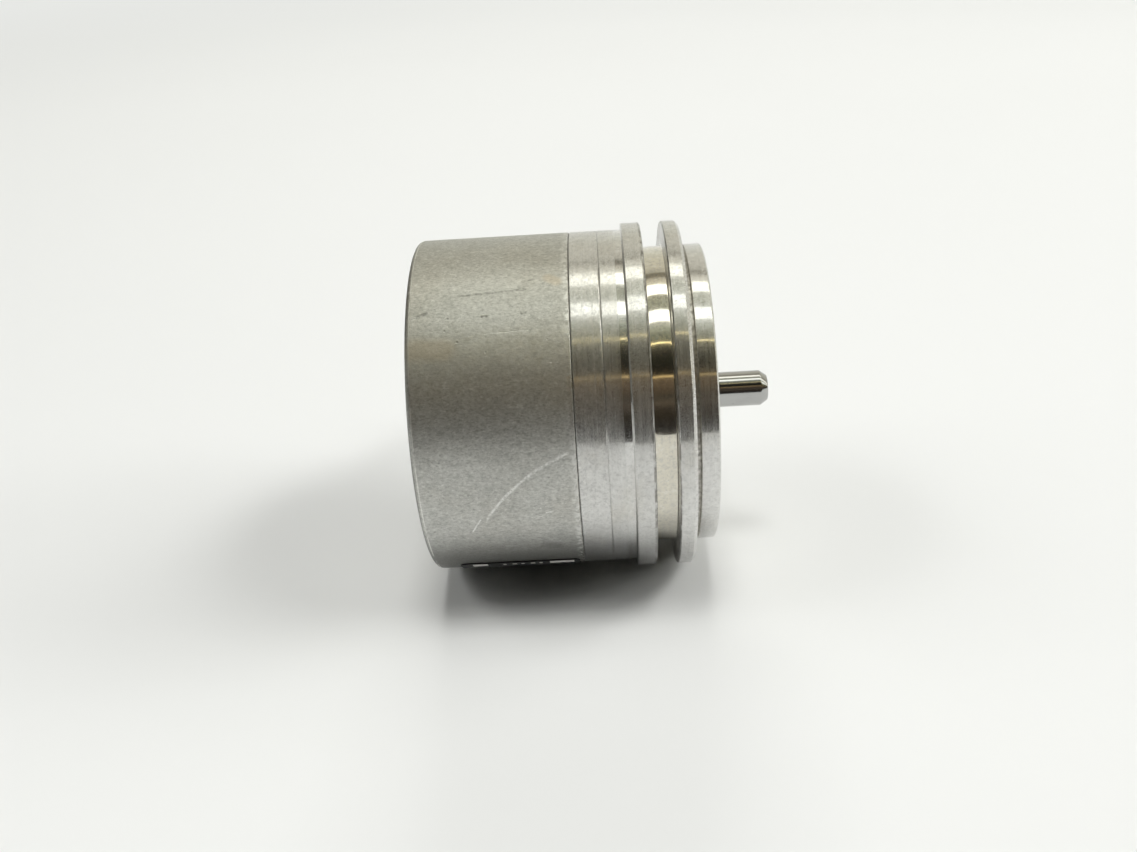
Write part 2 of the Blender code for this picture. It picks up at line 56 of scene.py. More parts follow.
# =================================================================================================================
# node helpers
# =================================================================================================================
class Tree:
    """A short way to write node trees: every method returns an output socket."""

    def __init__(self, tree):
        self.t = tree
        self.x = 0

    def node(self, kind, **props):
        n = self.t.nodes.new(kind)
        n.location = (self.x, 0)
        self.x += 40
        for k, v in props.items():
            setattr(n, k, v)
        return n

    def put(self, n, key, value):
        s = n.inputs[key]
        if isinstance(value, bpy.types.NodeSocket):
            self.t.links.new(value, s)
        elif value is not None:
            s.default_value = value
        return s

    def math(self, op, a, b=None, c=None, clamp=False):
        n = self.node("ShaderNodeMath", operation=op, use_clamp=clamp)
        self.put(n, 0, a)
        if b is not None:
            self.put(n, 1, b)
        if c is not None:
            self.put(n, 2, c)
        return n.outputs[0]

    def add(self, a, b):
        return self.math("ADD", a, b)

    def sub(self, a, b):
        return self.math("SUBTRACT", a, b)

    def mul(self, a, b):
        return self.math("MULTIPLY", a, b)

    def smooth(self, v, lo, hi, out_lo=0.0, out_hi=1.0):
        n = self.node("ShaderNodeMapRange", interpolation_type="SMOOTHSTEP")
        self.put(n, "Value", v)
        self.put(n, "From Min", lo)
        self.put(n, "From Max", hi)
        self.put(n, "To Min", out_lo)
        self.put(n, "To Max", out_hi)
        return n.outputs[0]

    def linear(self, v, lo, hi, out_lo=0.0, out_hi=1.0):
        n = self.node("ShaderNodeMapRange", interpolation_type="LINEAR")
        self.put(n, "Value", v)
        self.put(n, "From Min", lo)
        self.put(n, "From Max", hi)
        self.put(n, "To Min", out_lo)
        self.put(n, "To Max", out_hi)
        return n.outputs[0]

    def between(self, v, lo, hi, edge):
        """1 inside lo..hi, 0 outside, with soft edges."""
        return self.mul(self.smooth(v, lo - edge, lo + edge), self.smooth(v, hi - edge, hi + edge, 1.0, 0.0))

    def coords(self):
        return self.node("ShaderNodeTexCoord").outputs["Object"]

    def split(self, v):
        n = self.node("ShaderNodeSeparateXYZ")
        self.put(n, 0, v)
        return n.outputs[0], n.outputs[1], n.outputs[2]

    def join(self, x, y, z):
        n = self.node("ShaderNodeCombineXYZ")
        self.put(n, 0, x)
        self.put(n, 1, y)
        self.put(n, 2, z)
        return n.outputs[0]

    def noise(self, v, scale, detail=2.0, rough=0.5, dist=0.0, w=None):
        n = self.node("ShaderNodeTexNoise")
        if w is not None:
            n.noise_dimensions = "4D"
            self.put(n, "W", w)
        self.put(n, "Vector", v)
        self.put(n, "Scale", scale)
        self.put(n, "Detail", detail)
        self.put(n, "Roughness", rough)
        self.put(n, "Distortion", dist)
        return n.outputs["Fac"]

    def voronoi(self, v, scale, feature="F1", randomness=1.0):
        n = self.node("ShaderNodeTexVoronoi", feature=feature)
        self.put(n, "Vector", v)
        self.put(n, "Scale", scale)
        self.put(n, "Randomness", randomness)
        return n.outputs["Distance"]

    def ramp(self, v, stops, interp="LINEAR"):
        n = self.node("ShaderNodeValToRGB")
        r = n.color_ramp
        r.interpolation = interp
        while len(r.elements) > 1:
            r.elements.remove(r.elements[0])
        for i, (p, c) in enumerate(stops):
            e = r.elements[0] if i == 0 else r.elements.new(p)
            e.position = p
            e.color = (*c, 1.0) if len(c) == 3 else c
        self.put(n, 0, v)
        return n.outputs[0]

    def mix(self, f, a, b):
        n = self.node("ShaderNodeMix", data_type="RGBA")
        self.put(n, 0, f)
        for key, c in ((6, a), (7, b)):
            if isinstance(c, tuple):
                c = (*c, 1.0) if len(c) == 3 else c
            self.put(n, key, c)
        return n.outputs[2]

    def mixf(self, f, a, b):
        n = self.node("ShaderNodeMix", data_type="FLOAT")
        self.put(n, 0, f)
        self.put(n, 2, a)
        self.put(n, 3, b)
        return n.outputs[0]

    def bump(self, height, distance, strength=1.0, normal=None):
        n = self.node("ShaderNodeBump")
        self.put(n, "Height", height)
        self.put(n, "Distance", distance)
        self.put(n, "Strength", strength)
        if normal is not None:
            self.put(n, "Normal", normal)
        return n.outputs[0]


def new_material(name):
    m = bpy.data.materials.new(name)
    m.use_nodes = True
    t = Tree(m.node_tree)
    return m, t, m.node_tree.nodes["Principled BSDF"]


def polar(t, frame_axis="X"):
    """Distance along the axis, radius and angle round it, from object coordinates (metres and radians)."""
    x, y, z = t.split(t.coords())
    r = t.math("SQRT", t.add(t.mul(y, y), t.mul(z, z)))
    a = t.math("ARCTAN2", z, y)
    return x, r, a, y, z


# =================================================================================================================
# materials
# =================================================================================================================
def turned_metal(name, zones, colour=(0.72, 0.715, 0.70), stain=0.5, aniso=0.45, seed=0.0):
    """Turned on a lathe about the X axis. zones is a list of (x in mm, low roughness, high roughness, warmth): each
    holds from its x upwards. Between the rings of the cut the surface is duller, so it mirrors both sharply and softly."""
    m, t, b = new_material(name)
    x, r, a, y, z = polar(t)
    xm = t.mul(x, 1000.0)
    lo_x, hi_x = zones[0][0], zones[-1][0]
    f = t.linear(xm, lo_x, hi_x)
    zone = t.ramp(f, [((zx - lo_x) / (hi_x - lo_x), (lo, hi, warm)) for zx, lo, hi, warm in zones], "CONSTANT")
    z_lo, z_hi, z_warm = t.split(zone)
    run = t.add(x, r)
    fine = t.noise(t.join(t.mul(run, 11000.0), t.add(t.mul(y, 60.0), seed), t.mul(z, 60.0)), 1.0, 2.0, 0.65)
    feed = t.noise(t.join(t.mul(run, 3600.0), t.mul(y, 26.0), t.add(t.mul(z, 26.0), seed)), 1.0, 1.0, 0.5)
    broad = t.noise(t.join(t.mul(run, 1100.0), t.mul(y, 30.0), t.add(t.mul(z, 30.0), seed)), 1.0, 2.0, 0.5)
    cut = t.add(t.add(t.mul(fine, 0.45), t.mul(feed, 0.35)), t.mul(broad, 0.2))
    cloud = t.noise(t.join(t.mul(x, 120.0), t.mul(y, 120.0), t.add(t.mul(z, 120.0), seed)), 1.0, 4.0, 0.6)
    spots = t.noise(t.join(t.mul(x, 1300.0), t.mul(y, 1300.0), t.add(t.mul(z, 1300.0), seed)), 1.0, 3.0, 0.62)
    specks = t.noise(t.join(t.mul(x, 2700.0), t.mul(y, 2700.0), t.add(t.mul(z, 2700.0), seed)), 1.0, 2.0, 0.6)
    nick = t.voronoi(t.join(t.mul(x, 340.0), t.mul(y, 340.0), t.add(t.mul(z, 340.0), seed)), 1.0)
    nick = t.smooth(nick, 0.02, 0.07, 1.0, 0.0)
    c = t.mix(z_warm, colour, tuple(v * w for v, w in zip(colour, (1.02, 0.97, 0.84))))
    c = t.mix(t.mul(t.smooth(cloud, 0.48, 0.75), stain * 0.6), c, tuple(v * w for v, w in zip(colour, (0.80, 0.77, 0.70))))
    c = t.mix(t.mul(t.smooth(spots, 0.50, 0.68), 0.55 * stain), c, tuple(v * 0.70 for v in colour))
    c = t.mix(t.mul(t.smooth(spots, 0.34, 0.46, 1.0, 0.0), 0.45 * stain), c, tuple(min(1.0, v * 1.22) for v in colour))
    c = t.mix(t.mul(t.smooth(specks, 0.52, 0.70), 0.60 * stain), c, tuple(v * 0.60 for v in colour))
    c = t.mix(t.mul(t.smooth(cut, 0.42, 0.56, 1.0, 0.0), 0.12), c, tuple(v * 0.70 for v in colour))
    # painted shade: the undercut at the foot of the pilot is darkened in the base colour, broken by noise, and its
    # roughness is raised
    pocket = t.mul(t.between(xm, 0.05, 0.98, 0.05), t.smooth(r, 0.02497, 0.02485))
    undercut_shade_and_dullness = t.mul(pocket, t.smooth(t.noise(t.coords(), 1500.0, 3.0, 0.6), 0.38, 0.62, 0.35, 1.0))
    c = t.mix(t.mul(undercut_shade_and_dullness, 0.55), c, (0.20, 0.185, 0.16))
    burr = t.mul(t.between(xm, -6.60, -6.22, 0.06), t.smooth(r, 0.02862, 0.02878))
    burr = t.math("MAXIMUM", burr, t.mul(t.between(xm, -2.90, -2.50, 0.06), t.smooth(r, 0.02862, 0.02878)))
    burr = t.mul(burr, t.smooth(t.noise(t.coords(), 420.0, 3.0, 0.6), 0.36, 0.56))
    c = t.mix(t.mul(burr, 0.70), c, (0.20, 0.185, 0.16))
    c = t.mix(t.mul(nick, 0.30), c, (0.30, 0.29, 0.27))
    # painted shade: on the lower side facing -Y, 24.5 to 80 degrees below the horizon and at radii over 27.5 mm, the
    # base colour is darkened; forward of x -6 mm only a quarter as much
    fade = t.mul(t.math("ARCTAN2", z, t.mul(y, -1.0)), 57.29578)
    painted_underside_shade = t.mul(t.between(fade, -80.0, -24.5, 13.0), t.mul(t.smooth(r, 0.0275, 0.0277), t.smooth(y, -0.004, 0.0, 1.0, 0.0)))
    painted_underside_shade = t.mul(painted_underside_shade, t.smooth(xm, -6.2, -6.0, 1.0, 0.25))
    c = t.mix(t.mul(painted_underside_shade, 0.65), c, tuple(v * 0.30 for v in colour))
    t.put(b, "Base Color", c)
    b.inputs["Metallic"].default_value = 1.0
    ultra = t.noise(t.join(t.mul(run, 47000.0), t.add(t.mul(y, 9000.0), seed), t.mul(z, 9000.0)), 1.0, 1.0, 0.5)
    level = t.add(t.add(t.mul(ultra, 0.76), t.mul(cut, 0.20)), t.mul(specks, 0.04))
    mask = t.math("POWER", t.smooth(level, 0.42, 0.60), 0.95)
    rr = t.mixf(mask, z_lo, z_hi)
    rr = t.add(rr, t.mul(t.smooth(cloud, 0.45, 0.8), 0.04 * stain))
    t.put(b, "Roughness", t.math("MAXIMUM", t.mixf(undercut_shade_and_dullness, rr, 0.6), 0.03))
    b.inputs["Anisotropic"].default_value = aniso
    b.inputs["Anisotropic Rotation"].default_value = 0.25
    tan = t.node("ShaderNodeTangent", direction_type="RADIAL", axis="X")
    t.put(b, "Tangent", tan.outputs[0])
    t.put(b, "Normal", t.bump(t.sub(t.add(cut, t.mul(spots, 0.04)), t.mul(nick, 0.4)), 0.000004, 1.0))
    return m


def cast_metal(name):
    """Tumbled die casting: mottled matt grain drawn out along X, small pits, scuffs, a long light scratch, a turned lip."""
    m, t, b = new_material(name)
    x, r, a, y, z = polar(t)
    p = t.coords()
    drawn = t.join(t.mul(x, 0.75), y, z)
    wob3 = t.noise(p, 1500.0, 1.0)
    grain = t.noise(t.join(t.mul(x, 0.55), y, z), 3700.0, 3.0, 0.70)
    mid = t.noise(drawn, 1500.0, 3.0, 0.66)
    soft = t.noise(t.join(t.mul(x, 0.7), y, z), 420.0, 3.0, 0.6)
    lines = t.noise(t.join(t.mul(x, 420.0), t.mul(y, 4200.0), t.mul(z, 4200.0)), 1.0, 2.0, 0.6)
    cloud = t.noise(p, 95.0, 4.0, 0.6)
    blot = t.noise(p, 38.0, 3.0, 0.55)
    pits = t.smooth(t.voronoi(p, 560.0), 0.04, 0.15, 1.0, 0.0)
    pits = t.mul(pits, t.smooth(t.noise(p, 230.0, 1.0), 0.56, 0.64))
    glint = t.mul(t.smooth(t.voronoi(t.join(t.add(x, 0.013), y, z), 900.0), 0.05, 0.12, 1.0, 0.0), t.smooth(t.noise(p, 320.0, 1.0), 0.56, 0.64))
    base = (0.57, 0.57, 0.545)
    c = t.mix(t.mul(t.smooth(cloud, 0.40, 0.72), 0.5), base, (0.47, 0.465, 0.435))
    c = t.mix(t.mul(t.smooth(blot, 0.45, 0.70), 0.45), c, (0.52, 0.485, 0.42))
    c = t.mix(t.smooth(soft, 0.50, 0.72, 0.0, 0.32), c, (0.68, 0.68, 0.65))
    c = t.mix(t.smooth(soft, 0.30, 0.46, 0.34, 0.0), c, (0.43, 0.43, 0.41))
    c = t.mix(t.smooth(mid, 0.52, 0.68, 0.0, 0.48), c, (0.77, 0.77, 0.74))
    c = t.mix(t.smooth(mid, 0.32, 0.47, 0.50, 0.0), c, (0.34, 0.34, 0.32))
    c = t.mix(t.smooth(grain, 0.34, 0.50, 0.50, 0.0), c, (0.31, 0.31, 0.29))
    c = t.mix(t.smooth(grain, 0.54, 0.68, 0.0, 0.42), c, (0.80, 0.80, 0.77))
    c = t.mix(t.smooth(lines, 0.62, 0.76, 0.0, 0.30), c, (0.75, 0.75, 0.72))
    c = t.mix(t.mul(pits, 0.45), c, (0.20, 0.20, 0.185))
    c = t.mix(t.mul(glint, 0.55), c, (0.85, 0.85, 0.82))
    fade = t.mul(t.math("ARCTAN2", z, t.mul(y, -1.0)), 57.29578)
    wall = t.mul(t.smooth(r, 0.0268, 0.0276), t.smooth(y, -0.004, 0.0, 1.0, 0.0))
    # painted highlight: a lighter band on the wall facing -Y, 31 to 46 degrees above the horizon
    c = t.mix(t.mul(t.mul(t.between(fade, 31.0, 46.0, 8.0), wall), 0.28), c, (1.0, 0.99, 0.96))
    # painted shade: the wall facing -Y is darkened in the base colour from 28 to 80 degrees below the horizon
    c = t.mix(t.mul(t.mul(t.between(fade, -80.0, -28.0, 12.0), wall), 0.72), c, (0.15, 0.15, 0.142))
    ultra = t.noise(p, 21000.0, 1.0, 0.5)
    rough = t.add(t.mixf(t.smooth(ultra, 0.49, 0.53), 0.37, 0.66), t.linear(mid, 0.3, 0.7, -0.04, 0.04))
    height = t.add(t.add(t.mul(grain, 0.50), t.mul(mid, 1.0)), t.mul(lines, 0.25))
    height = t.sub(height, t.mul(pits, 1.6))

    # marks, placed in (x, arc length) on the 56 mm body; the arc counts from -Y upwards
    up = t.mul(t.math("ARCTAN2", z, t.mul(y, -1.0)), 28.0)
    xm = t.mul(x, 1000.0)
    wob = t.linear(t.noise(p, 900.0, 2.0), 0.2, 0.8, -0.10, 0.10)
    px_w, pu_w = xm, t.add(up, wob)

    def stroke(points, width, breaks=0.0, core=0.35):
        """1 on a polyline of (x, arc) points in mm, falling to 0 at the given half width."""
        best = None
        for (x0, u0), (x1, u1) in zip(points, points[1:]):
            dx, du = x1 - x0, u1 - u0
            n2 = dx * dx + du * du
            px, pu = t.sub(px_w, x0), t.sub(pu_w, u0)
            h = t.math("DIVIDE", t.add(t.mul(px, dx), t.mul(pu, du)), n2, clamp=True)
            ex, eu = t.sub(px, t.mul(h, dx)), t.sub(pu, t.mul(h, du))
            d = t.math("SQRT", t.add(t.mul(ex, ex), t.mul(eu, eu)))
            best = d if best is None else t.math("MINIMUM", best, d)
        s = t.smooth(best, width * core, width, 1.0, 0.0)
        if breaks:
            s = t.mul(s, t.smooth(t.noise(p, 1500.0, 3.0, 0.6), 0.5 - 0.24 * breaks, 0.5 + 0.16 * breaks, 0.25 * (1.0 - breaks), 1.0))
        return s

    bx, bu, radius, bow_from, bow_to, half = BOW
    off = t.math("SQRT", t.add(t.math("POWER", t.sub(px_w, bx), 2.0), t.math("POWER", t.sub(pu_w, bu), 2.0)))
    off = t.math("ABSOLUTE", t.sub(off, radius))
    torn = t.smooth(t.noise(p, 1900.0, 3.0, 0.6), 0.40, 0.56, 0.25, 1.0)
    scratch = t.mul(t.mul(t.smooth(off, half * 0.15, half, 1.0, 0.0), t.between(px_w, bow_from, bow_to, 0.3)), t.mul(torn, t.math("LESS_THAN", y, 0.0)))
    for line, width, breaks in SCRATCHES:
        k = stroke(line, width, breaks, 0.2)
        scratch = k if scratch is None else t.math("MAXIMUM", scratch, k)
    dark = None
    for line, width, breaks in SCUFFS:
        k = stroke(line, width, breaks, 0.1)
        dark = k if dark is None else t.math("MAXIMUM", dark, k)
    smudge = stroke(SMUDGE, 1.6, 0.0, 0.1)
    tan = None
    for line, width in TANS:
        k = stroke(line, width, 0.0, 0.3)
        tan = k if tan is None else t.math("MAXIMUM", tan, k)
    c = t.mix(t.mul(tan, 0.30), c, (0.62, 0.50, 0.34))
    c = t.mix(t.mul(smudge, 0.45), c, (0.16, 0.16, 0.15))
    c = t.mix(t.mul(dark, 0.60), c, (0.16, 0.16, 0.15))
    c = t.mix(t.mul(scratch, 0.68), c, (0.95, 0.95, 0.93))
    height = t.sub(height, t.mul(scratch, 0.7))
    height = t.sub(height, t.mul(dark, 0.9))
    rough = t.mixf(t.mul(scratch, 0.7), rough, 0.55)

    # the front lip and the outlet's seat are machined after casting; the lip is worn bright in spots
    lip = t.mul(t.smooth(xm, -18.16, -18.10), t.smooth(t.noise(p, 800.0, 2.0), 0.40, 0.60))
    worn = t.mul(t.smooth(xm, -19.35, -18.35), t.smooth(t.noise(p, 1500.0, 3.0, 0.6), 0.42, 0.60))
    seat = t.smooth(y, 0.02945, 0.02955)
    sunk = t.math("LESS_THAN", xm, -41.6)
    hole = None
    for cy, cz in SINKS:
        dy, dz = t.sub(t.mul(y, 1000.0), cy), t.sub(t.mul(z, 1000.0), cz)
        d = t.math("LESS_THAN", t.math("SQRT", t.add(t.mul(dy, dy), t.mul(dz, dz))), 2.72)
        hole = d if hole is None else t.math("MAXIMUM", hole, d)
    machined = t.math("MAXIMUM", t.math("MAXIMUM", lip, seat), t.math("MAXIMUM", hole, t.mul(worn, 0.75)))
    c = t.mix(t.mul(machined, 0.85), c, (0.76, 0.755, 0.73))
    # painted shade: the rounded rear edge is darkened in the base colour
    rim = t.mul(t.smooth(xm, -42.80, -42.35, 1.0, 0.0), t.smooth(r, 0.0268, 0.0274))
    c = t.mix(t.mul(rim, 0.55), c, (0.16, 0.155, 0.14))
    # painted highlight: a thin broken light line just inside the rounded rear edge
    painted_edge_highlight = t.mul(t.mul(t.between(xm, -42.26, -42.10, 0.06), t.smooth(r, 0.0274, 0.0278)), t.smooth(t.noise(p, 260.0, 2.0), 0.36, 0.52))
    c = t.mix(t.mul(painted_edge_highlight, 0.60), c, (0.92, 0.92, 0.88))
    t.put(b, "Base Color", c)
    b.inputs["Metallic"].default_value = 1.0
    t.put(b, "Roughness", t.mixf(machined, rough, 0.26))
    t.put(b, "Normal", t.bump(t.mul(height, t.sub(1.0, t.mul(machined, 0.9))), 0.000030, 0.85))
    return m


def ground_steel(name, colour=(0.66, 0.66, 0.65), rough=0.07, seed=0.0):
    m, t, b = new_material(name)
    x, r, a, y, z = polar(t)
    ring = t.noise(t.join(t.mul(t.add(x, r), 14000.0), t.mul(y, 90.0), t.add(t.mul(z, 90.0), seed)), 1.0, 2.0, 0.6)
    cloud = t.noise(t.join(t.mul(x, 260.0), t.mul(y, 260.0), t.add(t.mul(z, 260.0), seed)), 1.0, 3.0, 0.6)
    mark = t.smooth(t.voronoi(t.join(t.mul(x, 420.0), t.mul(y, 420.0), t.add(t.mul(z, 420.0), seed)), 1.0), 0.04, 0.10, 1.0, 0.0)
    c = t.mix(t.smooth(cloud, 0.45, 0.75, 0.0, 0.5), colour, tuple(v * 0.86 for v in colour))
    c = t.mix(t.mul(mark, 0.45), c, (0.22, 0.20, 0.18))
    t.put(b, "Base Color", c)
    b.inputs["Metallic"].default_value = 1.0
    t.put(b, "Roughness", t.add(t.linear(ring, 0.3, 0.7, -0.02, 0.03), t.linear(cloud, 0.3, 0.8, rough, rough + 0.05)))
    b.inputs["Anisotropic"].default_value = 0.3
    tan = t.node("ShaderNodeTangent", direction_type="RADIAL", axis="X")
    t.put(b, "Tangent", tan.outputs[0])
    t.put(b, "Normal", t.bump(t.add(ring, t.mul(mark, -0.6)), 0.0000018, 1.0))
    return m


def plain_metal(name, colour, rough, scale=1500.0, bump=0.000006, tint=0.8, spots=0.3, metallic=1.0):
    """Plated or stamped metal, for screws, clips, cages and connector parts."""
    m, t, b = new_material(name)
    p = t.coords()
    g = t.noise(p, scale, 3.0, 0.6)
    l = t.noise(p, scale * 0.12, 3.0, 0.6)
    c = t.mix(t.smooth(l, 0.42, 0.72, 0.0, 0.6), colour, tuple(v * tint for v in colour))
    c = t.mix(t.smooth(g, 0.60, 0.76, 0.0, spots), c, tuple(v * 0.6 for v in colour))
    t.put(b, "Base Color", c)
    b.inputs["Metallic"].default_value = metallic
    t.put(b, "Roughness", t.add(t.linear(g, 0.3, 0.7, -0.04, 0.06), t.linear(l, 0.3, 0.8, rough, rough + 0.08)))
    t.put(b, "Normal", t.bump(g, bump, 1.0))
    return m


def moulded(name, colour, rough=0.45, scale=2200.0, bump=0.00001, dust=0.25, dust_colour=(0.30, 0.29, 0.27), specular=0.5):
    """Moulded plastic or rubber with a fine skin and a little dust."""
    m, t, b = new_material(name)
    p = t.coords()
    g = t.noise(p, scale, 3.0, 0.65)
    l = t.noise(p, scale * 0.10, 4.0, 0.6)
    c = t.mix(t.smooth(l, 0.40, 0.75, 0.0, 0.5), colour, tuple(min(1.0, v * 1.5 + 0.006) for v in colour))
    c = t.mix(t.mul(t.smooth(g, 0.58, 0.78), dust), c, dust_colour)
    t.put(b, "Base Color", c)
    t.put(b, "Roughness", t.add(t.linear(g, 0.3, 0.7, -0.05, 0.08), t.linear(l, 0.3, 0.8, rough, rough + 0.08)))
    b.inputs["Specular IOR Level"].default_value = specular
    t.put(b, "Normal", t.bump(g, bump, 1.0))
    return m


# marks on the cover: lines of (x in mm, arc length in mm up from the side that faces -Y), half width, how broken
BOW = (-10.20, -20.19, 25.63, -32.4, -19.1, 0.36)    # the long scratch: centre, radius, from x, to x, half width
SCRATCHES = [
    ([(-35.0, -10.2), (-33.4, -7.4)], 0.20, 0.6),
    ([(-23.2, -6.5), (-22.3, -6.4)], 0.14, 0.6),
    ([(-21.5, 17.6), (-20.9, 17.5)], 0.22, 0.2),
    ([(-31.0, 22.6), (-24.0, 22.9)], 0.12, 0.9),
]
SCUFFS = [
    ([(-34.8, 29.6), (-28.9, 29.9), (-24.5, 30.3)], 0.34, 0.9),
    ([(-25.1, 25.8), (-24.6, 25.9)], 0.42, 0.2),
    ([(-31.1, 25.5), (-30.4, 25.6)], 0.34, 0.3),
    ([(-25.0, 32.0), (-23.2, 32.2)], 0.26, 0.6),
    ([(-34.9, 9.8), (-34.8, 9.8)], 0.24, 0.5),
    ([(-41.0, 26.0), (-39.6, 26.6)], 0.50, 0.8),
]
SMUDGE = [(-23.6, -15.0), (-21.9, -15.4)]
TANS = [([(-41.4, 20.6), (-37.0, 20.4)], 2.6), ([(-21.0, 32.4), (-19.8, 31.6)], 1.3)]
SINKS = [(20.0 * math.cos(math.radians(d)), 20.0 * math.sin(math.radians(d))) for d in (60, 180, 300)]


def stepped(lo, hi, channels):
    """Stops for a stepped ramp from lo to hi whose red, green and blue are 1 inside the given ranges."""
    marks = sorted({lo} | {v for spans in channels for span in spans for v in span})
    stops = []
    for v in marks:
        mid = v + 1e-4
        stops.append(((v - lo) / (hi - lo), tuple(1.0 if any(a <= mid < b for a, b in spans) else 0.0 for spans in channels)))
    return stops


def label_material(name):
    """Black printed foil. The print is only plain bars and boxes."""
    m, t, b = new_material(name)
    x, r, a, y, z = polar(t)
    p = t.coords()
    xm = t.mul(x, 1000.0)
    arc = t.mul(t.math("ARCTAN2", t.mul(z, -1.0), t.mul(y, -1.0)), 28.2)   # mm of arc down from -Y
    arc = t.sub(arc, math.radians(45) * 28.2)                               # 0 at the label's upper edge
    g = t.noise(p, 2400.0, 3.0, 0.6)
    l = t.noise(p, 140.0, 4.0, 0.6)
    # which kinds of print a line of the label carries, by arc, and where each kind is inked, by x
    kinds = t.ramp(t.linear(arc, 0.0, 44.0), stepped(0.0, 44.0, [
        [(0.5, 2.4)], [(1.0, 1.9)], [(7.4, 8.2), (9.4, 10.2), (11.4, 12.2), (13.4, 14.2), (19.0, 19.8), (21.4, 22.2)]]), "CONSTANT")
    codes = t.ramp(t.linear(arc, 0.0, 44.0), stepped(0.0, 44.0, [
        [(29.0, 37.0)], [(5.2, 5.45), (16.6, 16.85), (40.2, 40.45)], []]), "CONSTANT")
    inked = t.ramp(t.linear(xm, -38.6, -18.9), stepped(-38.6, -18.9, [
        [(-36.6, -34.2), (-23.9, -19.9)], [(-31.6, -31.1), (-30.1, -29.3), (-28.6, -28.1), (-27.1, -26.3), (-25.6, -25.1)],
        [(-36.8, -33.4), (-32.8, -28.6), (-26.0, -20.9)]]), "CONSTANT")
    k_box, k_small, k_rows = t.split(kinds)
    k_bars, k_rule, k_none = t.split(codes)
    i_box, i_small, i_rows = t.split(inked)
    bars = t.math("GREATER_THAN", t.noise(t.join(t.mul(xm, 1.9), 0.0, 0.0), 1.0, 2.0, 0.6), 0.5)
    bars = t.mul(bars, t.between(xm, -36.8, -22.0, 0.02))
    white = t.math("MAXIMUM", t.mul(k_box, i_box), t.math("MAXIMUM", t.mul(k_small, i_small), t.mul(k_rows, i_rows)))
    white = t.math("MAXIMUM", white, t.math("MAXIMUM", t.mul(k_bars, bars), t.mul(k_rule, t.between(xm, -37.2, -20.4, 0.05))))
    c = t.mix(t.smooth(l, 0.45, 0.75, 0.0, 0.5), (0.018, 0.018, 0.018), (0.035, 0.034, 0.032))
    c = t.mix(t.mul(t.smooth(g, 0.62, 0.78), 0.25), c, (0.16, 0.155, 0.15))
    c = t.mix(t.mul(white, t.smooth(g, 0.25, 0.45, 0.75, 0.96)), c, (0.72, 0.71, 0.68))
    t.put(b, "Base Color", c)
    t.put(b, "Roughness", t.linear(l, 0.3, 0.8, 0.40, 0.52))
    b.inputs["Specular IOR Level"].default_value = 0.22
    t.put(b, "Normal", t.bump(t.add(g, t.mul(white, 0.6)), 0.000006, 1.0))
    return m


M_FLANGE = turned_metal("turned_flange", [
    (-13.4, 0.13, 0.62, 0.0), (-11.5, 0.13, 0.50, 0.0), (-10.7, 0.05, 0.24, 0.0), (-9.41, 0.11, 0.62, 0.0), (-6.25, 0.02, 0.17, 0.9),
    (-2.75, 0.09, 0.58, 0.0), (-0.02, 0.06, 0.45, 0.3), (0.9, 0.06, 0.42, 0.0), (4.0, 0.06, 0.42, 0.0),
], stain=0.7)
M_BAND = turned_metal("turned_band", [(-24.0, 0.14, 0.64, 0.0), (-13.0, 0.14, 0.64, 0.0)], stain=0.85, seed=7.3)
M_COVER = cast_metal("cast_cover")
M_SHAFT = ground_steel("ground_shaft", (0.46, 0.46, 0.455), 0.09)
M_SEAL = moulded("seal_rubber", (0.018, 0.018, 0.018), rough=0.55, dust=0.35)
M_LABEL = label_material("label_foil")
M_BRASS_NI = plain_metal("nickel_brass", (0.68, 0.65, 0.57), 0.22)
M_GOLD = plain_metal("gold_pins", (0.83, 0.62, 0.24), 0.18, bump=0.000003)
M_ZINC = plain_metal("zinc_screw", (0.62, 0.63, 0.65), 0.28)
M_SPRING = plain_metal("spring_steel", (0.20, 0.19, 0.18), 0.30)
M_BEARING = ground_steel("bearing_steel", (0.60, 0.60, 0.61), 0.06, seed=3.0)
M_CAGE = plain_metal("cage_steel", (0.62, 0.58, 0.48), 0.30)
M_BLACK = moulded("black_plastic", (0.022, 0.022, 0.024), rough=0.42)
M_RUBBER = moulded("oring_rubber", (0.016, 0.016, 0.016), rough=0.5, dust=0.12)
M_RIBBON = moulded("ribbon_grey", (0.36, 0.36, 0.37), rough=0.5, dust=0.1)


# =================================================================================================================
# mesh helpers
# =================================================================================================================
def link(obj):
    SCENE.collection.objects.link(obj)
    return obj


def finish_mesh(me, angle=32.0):
    bm = bmesh.new()
    bm.from_mesh(me)
    bmesh.ops.remove_doubles(bm, verts=bm.verts, dist=1e-7)
    bmesh.ops.recalc_face_normals(bm, faces=bm.faces)
    bm.to_mesh(me)
    bm.free()
    me.shade_smooth()
    me.set_sharp_from_angle(angle=math.radians(angle))
    me.update()
    return me


